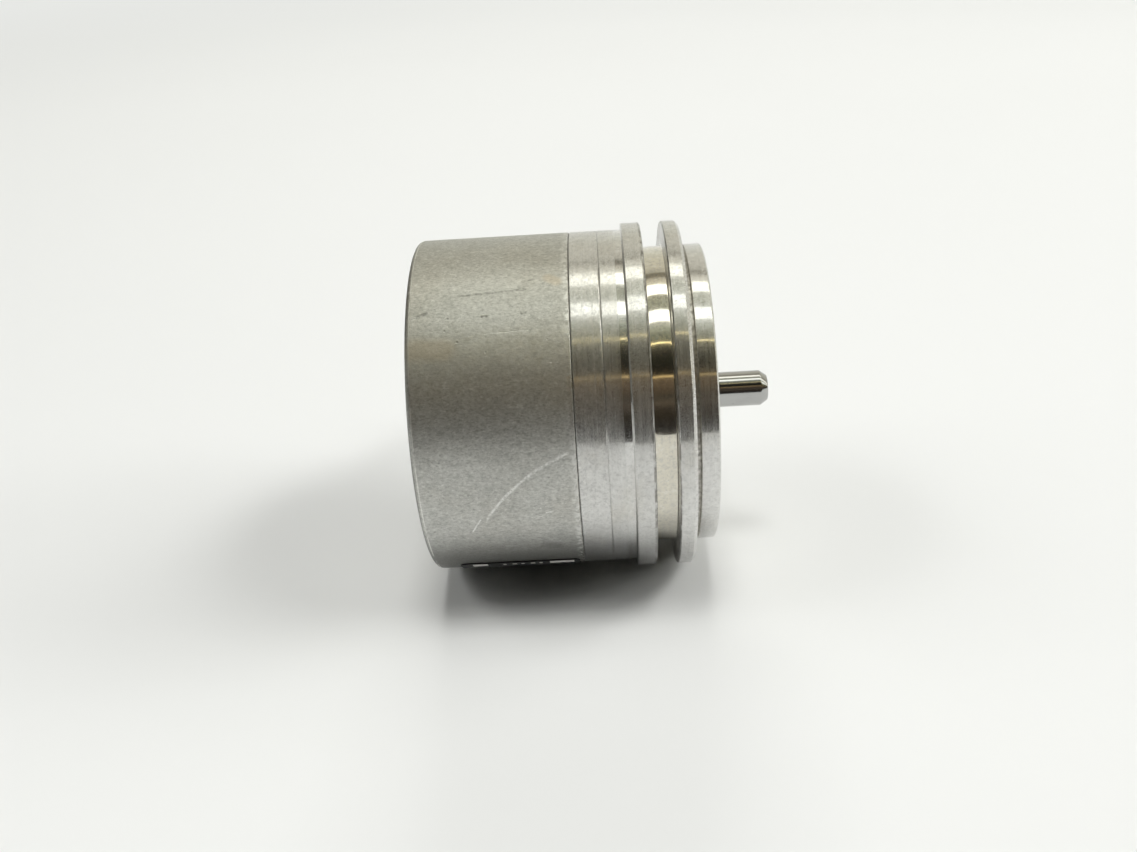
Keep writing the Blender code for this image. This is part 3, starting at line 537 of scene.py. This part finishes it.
def rounded(section, default=0.0, steps=3):
    """section is a closed outline of (x, r) or (x, r, fillet) in mm. Corners with a fillet become arcs. Points on the
    axis stay as they are."""
    pts = [(p[0], p[1], p[2] if len(p) > 2 else default) for p in section]
    out = []
    n = len(pts)
    for i, (x, r, f) in enumerate(pts):
        if f <= 0 or r <= 1e-9:
            out.append((x, r))
            continue
        p = Vector((x, r))
        a = Vector(pts[i - 1][:2]) - p
        b = Vector(pts[(i + 1) % n][:2]) - p
        la, lb = a.length, b.length
        a.normalize()
        b.normalize()
        ang = a.angle(b)
        if ang > math.pi - 0.02:
            out.append((x, r))
            continue
        d = min(f / math.tan(ang / 2), la * 0.49, lb * 0.49)
        rad = d * math.tan(ang / 2)
        centre = p + (a + b).normalized() * (rad / math.sin(ang / 2))
        v0, v1 = p + a * d - centre, p + b * d - centre
        sweep = v0.angle(v1)
        side = 1.0 if v0.x * v1.y - v0.y * v1.x > 0 else -1.0
        for k in range(steps + 1):
            q = sweep * k / steps * side
            c, s = math.cos(q), math.sin(q)
            out.append((centre.x + v0.x * c - v0.y * s, centre.y + v0.x * s + v0.y * c))
    return out


def lathe(name, section, material, segments=192, matrix=None, angle=32.0, shape=None):
    """A solid turned about the X axis, or about local X of matrix. section is a closed outline of (x, r) in mm; where
    it touches the axis it closes there. shape(x, r, angle) may move a point: it returns the new (x, r)."""
    verts, faces = [], []
    rings = []
    for x, r in section:
        if r <= 1e-9:
            rings.append([len(verts)])
            verts.append((x * MM, 0, 0))
        else:
            ring = []
            for k in range(segments):
                a = 2 * math.pi * k / segments
                xx, rr = shape(x, r, a) if shape else (x, r)
                ring.append(len(verts))
                verts.append((xx * MM, rr * MM * math.cos(a), rr * MM * math.sin(a)))
            rings.append(ring)
    for i in range(len(rings)):
        p, q = rings[i], rings[(i + 1) % len(rings)]
        if len(p) == 1 and len(q) == 1:
            continue
        for k in range(segments):
            j = (k + 1) % segments
            if len(p) == 1:
                faces.append((p[0], q[k], q[j]))
            elif len(q) == 1:
                faces.append((p[k], q[0], p[j]))
            else:
                faces.append((p[k], q[k], q[j], p[j]))
    me = bpy.data.meshes.new(name)
    me.from_pydata(verts, [], faces)
    if matrix is not None:
        me.transform(matrix)
    finish_mesh(me, angle)
    if material:
        me.materials.append(material)
    return link(bpy.data.objects.new(name, me))


def prism(name, sides, across_flats, x0, x1, material=None, matrix=None, turn=0.0, bevel=0.0):
    """A regular prism along X from x0 to x1 mm."""
    r = across_flats / 2 / math.cos(math.pi / sides)
    bm = bmesh.new()
    rings = []
    for x in (x0, x1):
        rings.append([bm.verts.new((x * MM, r * MM * math.cos(turn + 2 * math.pi * k / sides), r * MM * math.sin(turn + 2 * math.pi * k / sides))) for k in range(sides)])
    bm.faces.new(rings[0])
    bm.faces.new(rings[1][::-1])
    for k in range(sides):
        bm.faces.new((rings[0][k], rings[1][k], rings[1][(k + 1) % sides], rings[0][(k + 1) % sides]))
    if bevel:
        bmesh.ops.bevel(bm, geom=list(bm.edges), offset=bevel * MM, segments=2, affect="EDGES", profile=0.5)
    me = bpy.data.meshes.new(name)
    bm.to_mesh(me)
    bm.free()
    if matrix is not None:
        me.transform(matrix)
    finish_mesh(me)
    if material:
        me.materials.append(material)
    return link(bpy.data.objects.new(name, me))


def brick(name, lo, hi, material, bevel=0.1, segments=2):
    """A block between two corners in mm with rounded edges."""
    bm = bmesh.new()
    bmesh.ops.create_cube(bm, size=1.0)
    for v in bm.verts:
        v.co = Vector([(lo[i] + (hi[i] - lo[i]) * (v.co[i] + 0.5)) * MM for i in range(3)])
    bmesh.ops.bevel(bm, geom=list(bm.edges), offset=bevel * MM, segments=segments, affect="EDGES", profile=0.5)
    me = bpy.data.meshes.new(name)
    bm.to_mesh(me)
    bm.free()
    finish_mesh(me, 40)
    me.materials.append(material)
    return link(bpy.data.objects.new(name, me))


def boolean(obj, tools, operation="DIFFERENCE", angle=32.0):
    """Applies Booleans with each tool and removes the tools."""
    for tool in tools:
        mod = obj.modifiers.new("b", "BOOLEAN")
        mod.operation = operation
        mod.solver = "EXACT"
        mod.object = tool
        dg = bpy.context.evaluated_depsgraph_get()
        me = bpy.data.meshes.new_from_object(obj.evaluated_get(dg))
        obj.modifiers.clear()
        old = obj.data
        obj.data = me
        me.name = obj.name
        bpy.data.meshes.remove(old)
        bpy.data.objects.remove(tool)
    me = obj.data
    keep = [m for m in me.materials if m]
    me.materials.clear()
    for m in keep[:1]:
        me.materials.append(m)
    for poly in me.polygons:
        poly.material_index = 0
    me.shade_smooth()
    me.set_sharp_from_angle(angle=math.radians(angle))
    return obj


def at(direction, origin):
    """A matrix whose local X points along direction, at origin in mm."""
    q = Vector(direction).to_track_quat("X", "Z")
    return Matrix.Translation(Vector(origin) * MM) @ q.to_matrix().to_4x4()


def ring_point(radius, deg, x=0.0):
    """0 degrees is +Y and 90 is +Z."""
    a = math.radians(deg)
    return (x, radius * math.cos(a), radius * math.sin(a))


def stands_for(obj, body, *nodes, slot=None):
    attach(obj, body)
    if nodes:
        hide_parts(*nodes)
    return obj


# =================================================================================================================
# the outside
# =================================================================================================================
SHOULDER_END = 0.0
flange = lathe("servo_flange_turned", rounded([
    (3.8, 8.0, 0.15), (3.8, 24.75, 0.05), (3.55, 25.0, 0.06), (0.95, 25.0, 0.05), (0.75, 24.55, 0.1), (0.0, 24.55, 0.12),
    (0.0, 28.48, 0.05), (-0.52, 29.0, 0.08), (-2.5, 29.0, 0.05), (-2.7, 28.8, 0.05), (-2.7, 24.95, 0.28), (-6.2, 24.95, 0.28),
    (-6.2, 28.78, 0.05), (-6.42, 29.0, 0.06), (-9.2, 29.0, 0.06), (-9.4, 28.8, 0.05), (-9.4, 28.0, 0.18),
    (-13.08, 28.0, 0.05), (-13.26, 27.92, 0.02), (-13.26, 16.1), (-8.9, 16.1), (-8.9, 9.55), (-0.65, 9.55),
    (-0.65, 7.6), (0.35, 7.6), (0.35, 8.0),
]), M_FLANGE, segments=256, angle=28)


def tapped_hole(name, radius, depth, x_mouth, where, pitch=0.7, thread=0.34, chamfer=0.45, inward=-1.0, segments=40):
    """A cutter for a tapped hole: a helical thread, a countersink at the mouth and a cone at the bottom."""
    steps = int(depth / (pitch / 6))
    sec = [(x_mouth - inward * 1.0, 0.0), (x_mouth - inward * 1.0, radius + chamfer + 1.0), (x_mouth + inward * 0.001, radius + chamfer)]
    for i in range(steps + 1):
        sec.append((x_mouth + inward * (chamfer + (depth - chamfer) * i / steps), radius))
    sec.append((x_mouth + inward * (depth + radius * 0.55), 0.0))
    first, last = sec[3][0], sec[-2][0]

    def helix(x, r, a):
        if abs(r - radius) > 1e-6:
            return x, r
        ph = ((x - first) / pitch * inward + a / (2 * math.pi)) % 1.0
        tri = 1.0 - abs(2.0 * ph - 1.0)
        fade = min(1.0, abs(x - last) / 0.6)
        return x, r - thread * fade * max(0.0, min(1.0, tri * 1.25 - 0.12))

    sec[1] = (sec[1][0], radius + chamfer + 1.0)
    return lathe(name, sec, None, segments=segments, matrix=Matrix.Translation(Vector(where) * MM), shape=helix)


boolean(flange, [tapped_hole(f"t{i}", 1.98, 7.6, 3.8, ring_point(21.0, d)) for i, d in enumerate((90, 210, 330))], angle=28)
stands_for(flange, "housing", "servo_flange", slot="turned_aluminium")

band = lathe("bearing_housing_turned", rounded([
    (-9.1, 7.6), (-9.1, 16.0), (-13.29, 16.0), (-13.29, 27.92, 0.02), (-13.46, 28.0, 0.05), (-17.76, 28.0, 0.05), (-17.86, 27.90, 0.03),
    (-17.86, 25.8, 0.08), (-18.7, 25.8), (-18.7, 24.4), (-20.5, 24.4), (-20.5, 25.8), (-21.6, 25.8, 0.12), (-21.6, 22.8, 0.1), (-16.6, 22.8, 0.2),
    (-16.6, 12.0, 0.3), (-23.2, 12.0, 0.2), (-23.2, 9.55, 0.1), (-22.7, 9.55), (-22.7, 10.3), (-22.0, 10.3), (-22.0, 9.55), (-14.4, 9.55), (-14.4, 7.6),
]), M_BAND, segments=256, angle=28)
cuts = []
for i, d in enumerate((0, 120, 240)):
    cuts.append(lathe(f"c{i}", [(-18.0, 0), (-18.0, 1.65), (-12.0, 1.65), (-12.0, 0)], None, 32, Matrix.Translation(Vector(ring_point(19.5, d)) * MM)))
for i, d in enumerate((60, 180, 300)):
    cuts.append(lathe(f"d{i}", [(-18.0, 0), (-18.0, 1.4), (-13.9, 1.4), (-13.9, 0)], None, 32, Matrix.Translation(Vector(ring_point(20.0, d)) * MM)))
boolean(band, cuts, angle=28)
stands_for(band, "housing", "bearing_housing", slot="turned_aluminium")

cover = lathe("cover_casting", rounded([
    (-42.9, 0), (-42.9, 28.0, 0.9), (-18.12, 28.0, 0.06), (-17.96, 27.86, 0.04), (-17.96, 25.95), (-40.9, 25.95, 0.5), (-40.9, 0),
], steps=5), M_COVER, segments=256, angle=28)
pad = lathe("pad", rounded([(26.0, 0), (26.0, 9.25), (28.3, 9.1), (29.6, 9.0, 0.3), (29.6, 0)]), None, 96, at((0, 1, 0), (-33.0, 0, 0)))
boolean(cover, [pad], "UNION", angle=28)
cuts = [lathe("bore", [(20.0, 0), (20.0, 6.05), (33.0, 6.05), (33.0, 0)], None, 96, at((0, 1, 0), (-33.0, 0, 0))),
        lathe("gasket_seat", [(28.75, 0), (28.75, 7.4), (31.0, 7.4), (31.0, 0)], None, 96, at((0, 1, 0), (-33.0, 0, 0)))]
for i, d in enumerate((60, 180, 300)):
    cuts.append(lathe(f"sink{i}", [(-43.9, 0), (-43.9, 2.75), (-42.86, 2.6), (-41.7, 1.42), (-38.9, 1.42), (-38.9, 0)], None, 64,
                      Matrix.Translation(Vector(ring_point(20.0, d)) * MM)))
boolean(cover, cuts, angle=28)
stands_for(cover, "housing", "housing_cover", slot="cast_aluminium")

shaft = lathe("shaft_ground", rounded([
    (14.3, 0), (14.3, 2.15, 0.3), (13.05, 3.0, 0.45), (0.25, 3.0, 0.1), (0.25, 3.98, 0.1), (-0.05, 3.98), (-0.05, 3.4), (-0.65, 3.4), (-0.65, 3.98),
    (-21.05, 3.98, 0.1), (-21.05, 5.3, 0.15), (-22.6, 5.3, 0.15), (-22.6, 3.98, 0.1), (-28.4, 3.98, 0.1), (-28.6, 3.7), (-28.6, 0),
]), M_SHAFT, segments=128, angle=28)
stands_for(shaft, "rotor", "encoder_shaft", slot="ground_steel")

seal = lathe("shaft_seal_moulded", rounded([
    (2.55, 3.07, 0.05), (1.3, 4.2, 0.2), (1.3, 6.6, 0.3), (0.45, 6.6, 0.1), (0.45, 7.94, 0.15), (3.5, 7.94, 0.2), (3.5, 7.0, 0.15), (3.05, 6.4, 0.3),
    (3.0, 4.9, 0.3), (3.35, 3.9, 0.25), (3.2, 3.35, 0.1),
]), M_SEAL, segments=128, angle=28)
stands_for(seal, "housing", "shaft_seal", slot="black_rubber")


def curved_label(name, radius, x0, x1, a0, a1, thick, corner, material):
    """A foil bent round the X axis, with rounded corners."""
    arc = math.radians(a1 - a0) * radius
    stations = []
    n = 72
    for i in range(n + 1):
        stations.append(arc * i / n)
    for k in range(1, 8):
        d = corner * (1 - math.cos(math.pi / 2 * k / 8))
        stations += [d, arc - d]
    stations = sorted(set(round(s, 5) for s in stations))
    cols = 12
    bm = bmesh.new()
    grid = []
    for s in stations:
        d = min(s, arc - s)
        inset = 0.0 if d >= corner else corner - math.sqrt(max(0.0, corner ** 2 - (corner - d) ** 2))
        a = math.radians(a0) + s / radius
        row = []
        for j in range(cols + 1):
            x = (x0 + inset) + (x1 - x0 - 2 * inset) * j / cols
            row.append(bm.verts.new((x * MM, radius * MM * math.cos(a), radius * MM * math.sin(a))))
        grid.append(row)
    for r0, r1 in zip(grid, grid[1:]):
        for j in range(cols):
            bm.faces.new((r0[j], r0[j + 1], r1[j + 1], r1[j]))
    bmesh.ops.recalc_face_normals(bm, faces=bm.faces)
    me = bpy.data.meshes.new(name)
    bm.to_mesh(me)
    bm.free()
    obj = link(bpy.data.objects.new(name, me))
    mod = obj.modifiers.new("s", "SOLIDIFY")
    mod.thickness = thick * MM
    mod.offset = 0
    dg = bpy.context.evaluated_depsgraph_get()
    out = bpy.data.meshes.new_from_object(obj.evaluated_get(dg))
    obj.modifiers.clear()
    obj.data = out
    out.name = name
    finish_mesh(out, 40)
    out.materials.clear()
    out.materials.append(material)
    return obj


label = curved_label("type_label_foil", 28.14, -38.6, -18.9, 225, 315, 0.14, 1.0, M_LABEL)
stands_for(label, "housing", "type_label", slot="label_black")

# ---- outlet on the far side: threaded metal shell, insulating body, gold contacts ----------------------------------------
OUT_X = -33.0
TO_Y = at((0, 1, 0), (OUT_X, 0, 0))


def screw_thread(radius, pitch, x0, x1, depth):
    """Cuts a helical thread into the points at the given radius between x0 and x1."""
    def move(x, r, a):
        if abs(r - radius) > 1e-6 or x < x0 or x > x1:
            return x, r
        ph = ((x - x0) / pitch + a / (2 * math.pi)) % 1.0
        tri = 1.0 - abs(2.0 * ph - 1.0)
        fade = max(0.0, min(1.0, (x - x0) / 0.5, (x1 - x) / 0.4))
        return x, r - depth * fade * max(0.0, min(1.0, tri * 1.35 - 0.18))
    return move


steps = [33.95 + (41.6 - 33.95) * i / 66 for i in range(67)]
shell = lathe("outlet_shell_turned", rounded(
    [(24.4, 4.7, 0.1), (24.4, 5.95, 0.15), (29.65, 5.95), (29.65, 7.4, 0.1), (32.9, 7.4, 0.25), (32.9, 5.5, 0.1), (33.75, 5.5, 0.1)]
    + [(x, 6.0) for x in steps] + [(42.0, 5.62, 0.05), (42.0, 4.95, 0.08), (41.75, 4.7, 0.05)]),
    M_BRASS_NI, 96, TO_Y, shape=screw_thread(6.0, 1.0, 33.95, 41.6, 0.55))
nut = prism("nut", 6, 8.2 * math.sqrt(3), 29.85, 32.5, None, TO_Y, turn=0.0)
trim = lathe("trim", rounded([(29.85, 0), (29.85, 7.35), (30.3, 8.3), (32.05, 8.3), (32.5, 7.35), (32.5, 0)]), None, 96, TO_Y)
boolean(nut, [trim], "INTERSECT")
boolean(nut, [lathe("nutbore", [(29.0, 0), (29.0, 6.8), (33.5, 6.8), (33.5, 0)], None, 96, TO_Y)])
boolean(shell, [nut], "UNION", angle=28)
stands_for(shell, "housing", "outlet_shell", slot="nickel_brass")

insert = lathe("outlet_insert_body", rounded([
    (24.9, 0), (24.9, 4.6, 0.12), (33.4, 4.6, 0.12), (33.4, 3.95, 0.08), (33.1, 3.8, 0.08), (33.1, 0),
]), M_BLACK, 96, TO_Y)
holes = []
for k in range(8):
    q = 2 * math.pi * k / 7
    rr = 2.75 if k < 7 else 0.0
    m = TO_Y @ Matrix.Translation((0, rr * math.cos(q) * MM, rr * math.sin(q) * MM))
    holes.append((k, m))
boolean(insert, [lathe(f"ph{k}", rounded([(32.8, 0), (32.8, 0.52), (33.0, 0.52), (33.3, 0.85), (34.0, 0.85), (34.0, 0)]), None, 24, m) for k, m in holes])
stands_for(insert, "housing", "outlet_insert", slot="black_plastic")
pins = []
for k, m in holes:
    pins.append(lathe(f"outlet_contact_{k + 1}", rounded([
        (24.1, 0), (24.1, 0.42, 0.05), (36.5, 0.42, 0.3), (37.2, 0.16, 0.14), (37.2, 0),
    ], steps=4), M_GOLD, 32, m))
for pin in pins:
    stands_for(pin, "housing", "outlet_insert", slot="nickel_brass")

gasket = lathe("outlet_gasket_ring", rounded([(28.85, 6.25, 0.2), (28.85, 7.3, 0.2), (29.55, 7.3, 0.2), (29.55, 6.25, 0.2)], steps=4), M_RUBBER, 96, TO_Y)
stands_for(gasket, "housing", "outlet_gasket", slot="black_rubber")

# ---- cover screws -----------------------------------------------------------------------------------------------------
for i, d in enumerate((60, 180, 300)):
    where = Matrix.Translation(Vector(ring_point(20.0, d)) * MM)
    steps = [-41.2 + 5.0 * k / 50 for k in range(51)]
    screw = lathe(f"cover_screw_head_{i + 1}", rounded(
        [(-42.85, 0), (-42.85, 2.25, 0.12), (-42.68, 2.36, 0.06), (-41.55, 1.24)] + [(x, 1.2) for x in steps] + [(-35.9, 0.9), (-35.9, 0)]),
        M_ZINC, 48, where, shape=screw_thread(1.2, 0.5, -41.2, -36.2, 0.22))
    key = prism("key", 6, 1.55, -43.5, -41.85, None, where, turn=0.3 + i)
    boolean(screw, [key], angle=30)
    stands_for(screw, "housing", f"cover_screw_{i + 1}", slot="zinc_steel")

# =================================================================================================================
# materials for the solids that stay
# =================================================================================================================
KEEP = {
    "turned_aluminium": M_FLANGE, "ground_steel": M_SHAFT, "bearing_steel": M_BEARING, "cage_steel": M_CAGE, "spring_steel": M_SPRING,
    "zinc_steel": M_ZINC, "nickel_brass": M_BRASS_NI, "black_rubber": M_RUBBER, "black_plastic": M_BLACK, "ribbon_grey": M_RIBBON,
}


def track_disc(name):
    """Chromed code tracks on glass: one fine ring of lines and, inside it, rings of longer windows."""
    m, t, b = new_material(name)
    x, r, a, y, z = polar(t)
    turn = t.linear(a, -math.pi, math.pi, 0.0, 1.0)
    rm = t.mul(r, 1000.0)
    chrome = None
    for count, lo, hi in TRACKS:
        gate = t.math("GREATER_THAN", t.math("FRACT", t.mul(turn, float(count))), 0.5)
        ring = t.mul(t.between(rm, lo, hi, 0.02), gate)
        chrome = ring if chrome is None else t.math("MAXIMUM", chrome, ring)
    haze = t.noise(t.coords(), 700.0, 3.0, 0.6)
    c = t.mix(chrome, (0.62, 0.70, 0.68), (0.30, 0.27, 0.22))
    c = t.mix(t.mul(t.smooth(haze, 0.55, 0.75), 0.15), c, (0.80, 0.80, 0.78))
    t.put(b, "Base Color", c)
    t.put(b, "Metallic", t.mul(chrome, 0.9))
    t.put(b, "Roughness", t.linear(haze, 0.3, 0.7, 0.05, 0.10))
    return m


def circuit_board(name):
    """Solder mask with copper tracks showing through, round pads and a fine weave."""
    m, t, b = new_material(name)
    p = t.coords()
    x, y, z = t.split(p)
    wig = t.voronoi(t.join(0.0, t.mul(y, 1.0), z), 260.0, feature="DISTANCE_TO_EDGE", randomness=0.55)
    track = t.smooth(wig, 0.05, 0.08, 1.0, 0.0)
    pad = t.smooth(t.voronoi(t.join(0.0, y, z), 300.0, randomness=0.35), 0.10, 0.14, 1.0, 0.0)
    pad = t.mul(pad, t.math("GREATER_THAN", t.noise(p, 240.0, 0.0), 0.5))
    weave = t.noise(p, 2600.0, 2.0, 0.5)
    c = t.mix(track, (0.012, 0.090, 0.040), (0.03, 0.17, 0.08))
    c = t.mix(pad, c, (0.62, 0.60, 0.55))
    c = t.mix(t.mul(t.smooth(weave, 0.5, 0.7), 0.12), c, (0.10, 0.20, 0.12))
    t.put(b, "Base Color", c)
    t.put(b, "Metallic", pad)
    t.put(b, "Roughness", t.linear(weave, 0.3, 0.7, 0.26, 0.36))
    t.put(b, "Normal", t.bump(t.add(t.mul(track, 0.6), pad), 0.00003, 1.0))
    return m


DISC_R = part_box("code_disc")[1][2] * 1000.0
TRACKS = [(256, DISC_R - 2.2, DISC_R - 0.6), (64, DISC_R - 3.6, DISC_R - 2.6), (16, DISC_R - 4.8, DISC_R - 3.9), (4, DISC_R - 6.0, DISC_R - 5.1)]
M_GLASS = track_disc("disc_glass")
M_BOARD = circuit_board("board_green")
KEEP["disc_glass"] = M_GLASS
KEEP["board_green"] = M_BOARD
SLOT_OF = {s["node"]: s["material_slot"] for s in frame["record"]["subparts"]}
for name, obj in NODES.items():
    if obj.hide_render:
        continue
    mat = KEEP.get(SLOT_OF[name], M_BLACK)
    obj.data.materials.clear()
    obj.data.materials.append(mat)
    obj.data.shade_smooth()
    obj.data.set_sharp_from_angle(angle=math.radians(30))

# =================================================================================================================
# stage: floor, room light, lamps, camera
# =================================================================================================================
FLOOR_Z = -29.02
BACKDROP = (0.80, 0.81, 0.785)


def floor_material(name):
    m, t, b = new_material(name)
    p = t.coords()
    l = t.noise(p, 3.0, 2.0, 0.5)
    g = t.noise(p, 900.0, 2.0, 0.6)
    c = t.mix(t.smooth(l, 0.3, 0.7), (0.80, 0.808, 0.782), (0.79, 0.798, 0.772))
    t.put(b, "Base Color", c)
    b.inputs["Roughness"].default_value = 0.5
    b.inputs["Specular IOR Level"].default_value = 0.25
    t.put(b, "Normal", t.bump(g, 0.00001, 0.3))
    # far off, the sheet passes into the plain backdrop
    x, y, z = t.split(p)
    away = t.math("SQRT", t.add(t.mul(x, x), t.mul(y, y)))
    glow = t.node("ShaderNodeEmission")
    glow.inputs["Color"].default_value = (*BACKDROP, 1.0)
    both = t.node("ShaderNodeMixShader")
    t.put(both, 0, t.smooth(away, 0.45, 1.5))
    m.node_tree.links.new(b.outputs[0], both.inputs[1])
    m.node_tree.links.new(glow.outputs[0], both.inputs[2])
    m.node_tree.links.new(both.outputs[0], m.node_tree.nodes["Material Output"].inputs["Surface"])
    return m


def sheet(name, corners, hole=None):
    bm = bmesh.new()
    (x0, y0), (x1, y1) = corners
    xs, ys = [x0, x1], [y0, y1]
    if hole:
        (hx0, hy0), (hx1, hy1) = hole
        xs, ys = [x0, hx0, hx1, x1], [y0, hy0, hy1, y1]
    vs = [[bm.verts.new((x, y, FLOOR_Z * MM)) for y in ys] for x in xs]
    for i in range(len(xs) - 1):
        for j in range(len(ys) - 1):
            if hole and i == 1 and j == 1:
                continue
            bm.faces.new((vs[i][j], vs[i + 1][j], vs[i + 1][j + 1], vs[i][j + 1]))
    me = bpy.data.meshes.new(name)
    bm.to_mesh(me)
    bm.free()
    me.materials.append(M_FLOOR)
    obj = link(bpy.data.objects.new(name, me))
    return obj


M_FLOOR = floor_material("floor_matt")
TABLE = ((-1.2, -0.31), (1.2, 1.6))
near = sheet("floor_near", TABLE)
far = sheet("floor_far", ((-12.0, -12.0), (12.0, 12.0)), hole=TABLE)
far.visible_glossy = False

# the room: brightness by the angle round X, from the horizon in front of the object (-Y) over the top to the back
ROOM = [
    (-90, (0.05, 0.045, 0.04)), (-6, (0.05, 0.045, 0.04)), (-2, (0.034, 0.032, 0.03)), (8, (0.036, 0.03, 0.022)), (13, (0.055, 0.045, 0.034)),
    (17.5, (0.11, 0.09, 0.068)), (22, (0.07, 0.06, 0.045)), (27, (0.10, 0.075, 0.05)), (31, (0.14, 0.105, 0.07)), (35.9, (0.15, 0.11, 0.07)),
    (36.3, (0.95, 0.70, 0.33)), (37.4, (0.95, 0.70, 0.33)), (38.0, (0.03, 0.028, 0.022)), (43, (0.022, 0.02, 0.015)), (50, (0.026, 0.026, 0.018)), (56, (0.055, 0.05, 0.038)),
    (61.8, (0.14, 0.14, 0.10)), (62.1, (2.5, 2.1, 1.1)), (63.1, (2.5, 2.1, 1.1)), (63.5, (0.19, 0.20, 0.15)), (69, (0.26, 0.27, 0.20)),
    (75, (0.50, 0.52, 0.42)), (79.6, (0.62, 0.63, 0.55)), (80.4, (2.45, 2.47, 2.27)), (89.8, (2.45, 2.47, 2.27)), (90.8, (0.40, 0.41, 0.32)), (104.2, (0.44, 0.44, 0.34)),
    (105.2, (2.45, 2.45, 2.2)), (114.6, (2.45, 2.4, 2.1)), (115.8, (0.80, 0.77, 0.64)), (122, (0.62, 0.58, 0.47)), (124, (0.24, 0.22, 0.17)), (128, (0.24, 0.22, 0.17)),
    (130, (0.56, 0.54, 0.45)), (137, (0.70, 0.67, 0.57)), (150, (0.74, 0.72, 0.61)), (165, (0.77, 0.77, 0.68)), (178, (0.86, 0.86, 0.80)), (190, (0.95, 0.95, 0.90)),
]


def room_world():
    w = bpy.data.worlds.new("room")
    SCENE.world = w
    w.use_nodes = True
    w.cycles_visibility.diffuse = False       # what the metal mirrors; the lamps light the floor
    t = Tree(w.node_tree)
    bg = w.node_tree.nodes.get("Background") or t.node("ShaderNodeBackground")
    d = t.node("ShaderNodeTexCoord").outputs["Generated"]
    x, y, z = t.split(d)
    phi = t.math("DEGREES", t.math("ARCTAN2", z, t.mul(y, -1.0)))
    below_back = t.math("LESS_THAN", phi, -90.0)
    phi = t.add(phi, t.mul(below_back, 360.0))
    cols = None
    # a ramp holds 32 stops, so the room is three ramps
    groups = [ROOM[0:16], ROOM[15:30], ROOM[29:]]
    for g in groups:
        lo, hi = g[0][0], g[-1][0]
        f = t.linear(phi, lo, hi)
        c = t.ramp(f, [((a - lo) / (hi - lo), tuple(v / 2.5 for v in col)) for a, col in g])
        if cols is None:
            cols = c
        else:
            step = t.math("GREATER_THAN", phi, lo)
            cols = t.mix(step, cols, c)
    side = t.smooth(x, -0.65, -0.22, 0.18, 1.0)
    cols = t.mix(side, (0.012, 0.011, 0.009), cols)
    lp = t.node("ShaderNodeLightPath").outputs["Is Camera Ray"]
    seen = t.mix(lp, cols, tuple(v / 2.5 for v in BACKDROP))
    t.put(bg, "Color", seen)
    bg.inputs["Strength"].default_value = 2.5
    return w


room_world()


def soft_lamp(name, place, aim, size, watts, colour=(1, 1, 1), glossy=False):
    li = bpy.data.lights.new(name, "AREA")
    li.shape = "RECTANGLE"
    li.size, li.size_y = size
    li.energy = watts
    li.color = colour
    ob = link(bpy.data.objects.new(name, li))
    ob.location = place
    ob.rotation_euler = (Vector(aim) - Vector(place)).to_track_quat("-Z", "Y").to_euler()
    ob.visible_camera = False
    ob.visible_glossy = glossy
    return ob


# (place, size, watts): a row of soft boxes overhead, broad ones to the sides and behind
for n, (place, size, watts) in enumerate([
    ((-1.8, -0.5, 2.3), (0.6, 0.3), 3.7), ((-1.8, 0.0, 2.3), (0.6, 0.3), 3.3), ((0.0, -0.9, 2.3), (0.6, 0.3), 2.2),
    ((0.0, -0.5, 2.3), (0.6, 0.3), 7.4), ((0.0, -0.2, 2.3), (0.6, 0.3), 8.6), ((0.0, 0.3, 2.3), (0.6, 0.3), 2.5),
    ((0.6, -0.6, 2.3), (0.6, 0.5), 2.2), ((1.8, -0.35, 2.3), (1.2, 0.5), 15.2), ((2.1, -0.25, 2.1), (1.7, 1.2), 16.7),
    ((0.0, 2.6, 1.6), (1.0, 1.0), 23.0), ((3.2, 0.0, 1.0), (1.0, 1.0), 33.9), ((-3.2, 0.0, 1.0), (1.0, 1.0), 5.2),
    ((-2.1, -0.6, 1.9), (1.0, 1.0), 6.8), ((2.1, 0.8, 1.6), (1.0, 1.0), 11.5), ((-2.1, 0.6, 1.9), (1.0, 1.0), 7.4),
]):
    soft_lamp(f"soft_{n + 1}", place, (0, 0, 0), size, watts)


def photo_camera():
    """Placed so that the shaft lies as it does in the reference view; the elevation is 25 degrees."""
    e = math.radians(25.0)
    yaw, pitch, roll = 0.035896, -0.025028, 0.054048
    dist, cx = 193.70, -16.717 + 3.8
    rz = Matrix.Rotation(yaw, 3, "Z")
    rx = Matrix.Rotation(pitch, 3, "X")
    ry = Matrix.Rotation(roll, 3, "Y")
    r = rz @ rx @ ry                       # columns: right, forward, up
    tilt = Matrix.Rotation(-e, 3, "X")
    m = tilt @ r
    right, forward, up = m.col[0], m.col[1], m.col[2]
    cam = bpy.data.objects.new("camera", bpy.data.cameras.new("camera"))
    link(cam)
    cam.data.sensor_fit = "HORIZONTAL"
    cam.data.sensor_width = 36.0
    cam.data.lens = 1126.36 / 1137 * 36.0
    rot = Matrix((right, up, -forward)).transposed()
    cam.matrix_world = Matrix.Translation(Vector((cx, -dist * math.cos(e), dist * math.sin(e))) * MM) @ rot.to_4x4()
    cam.data.clip_start, cam.data.clip_end = 0.01, 50.0
    SCENE.camera = cam
    return cam


photo_camera()
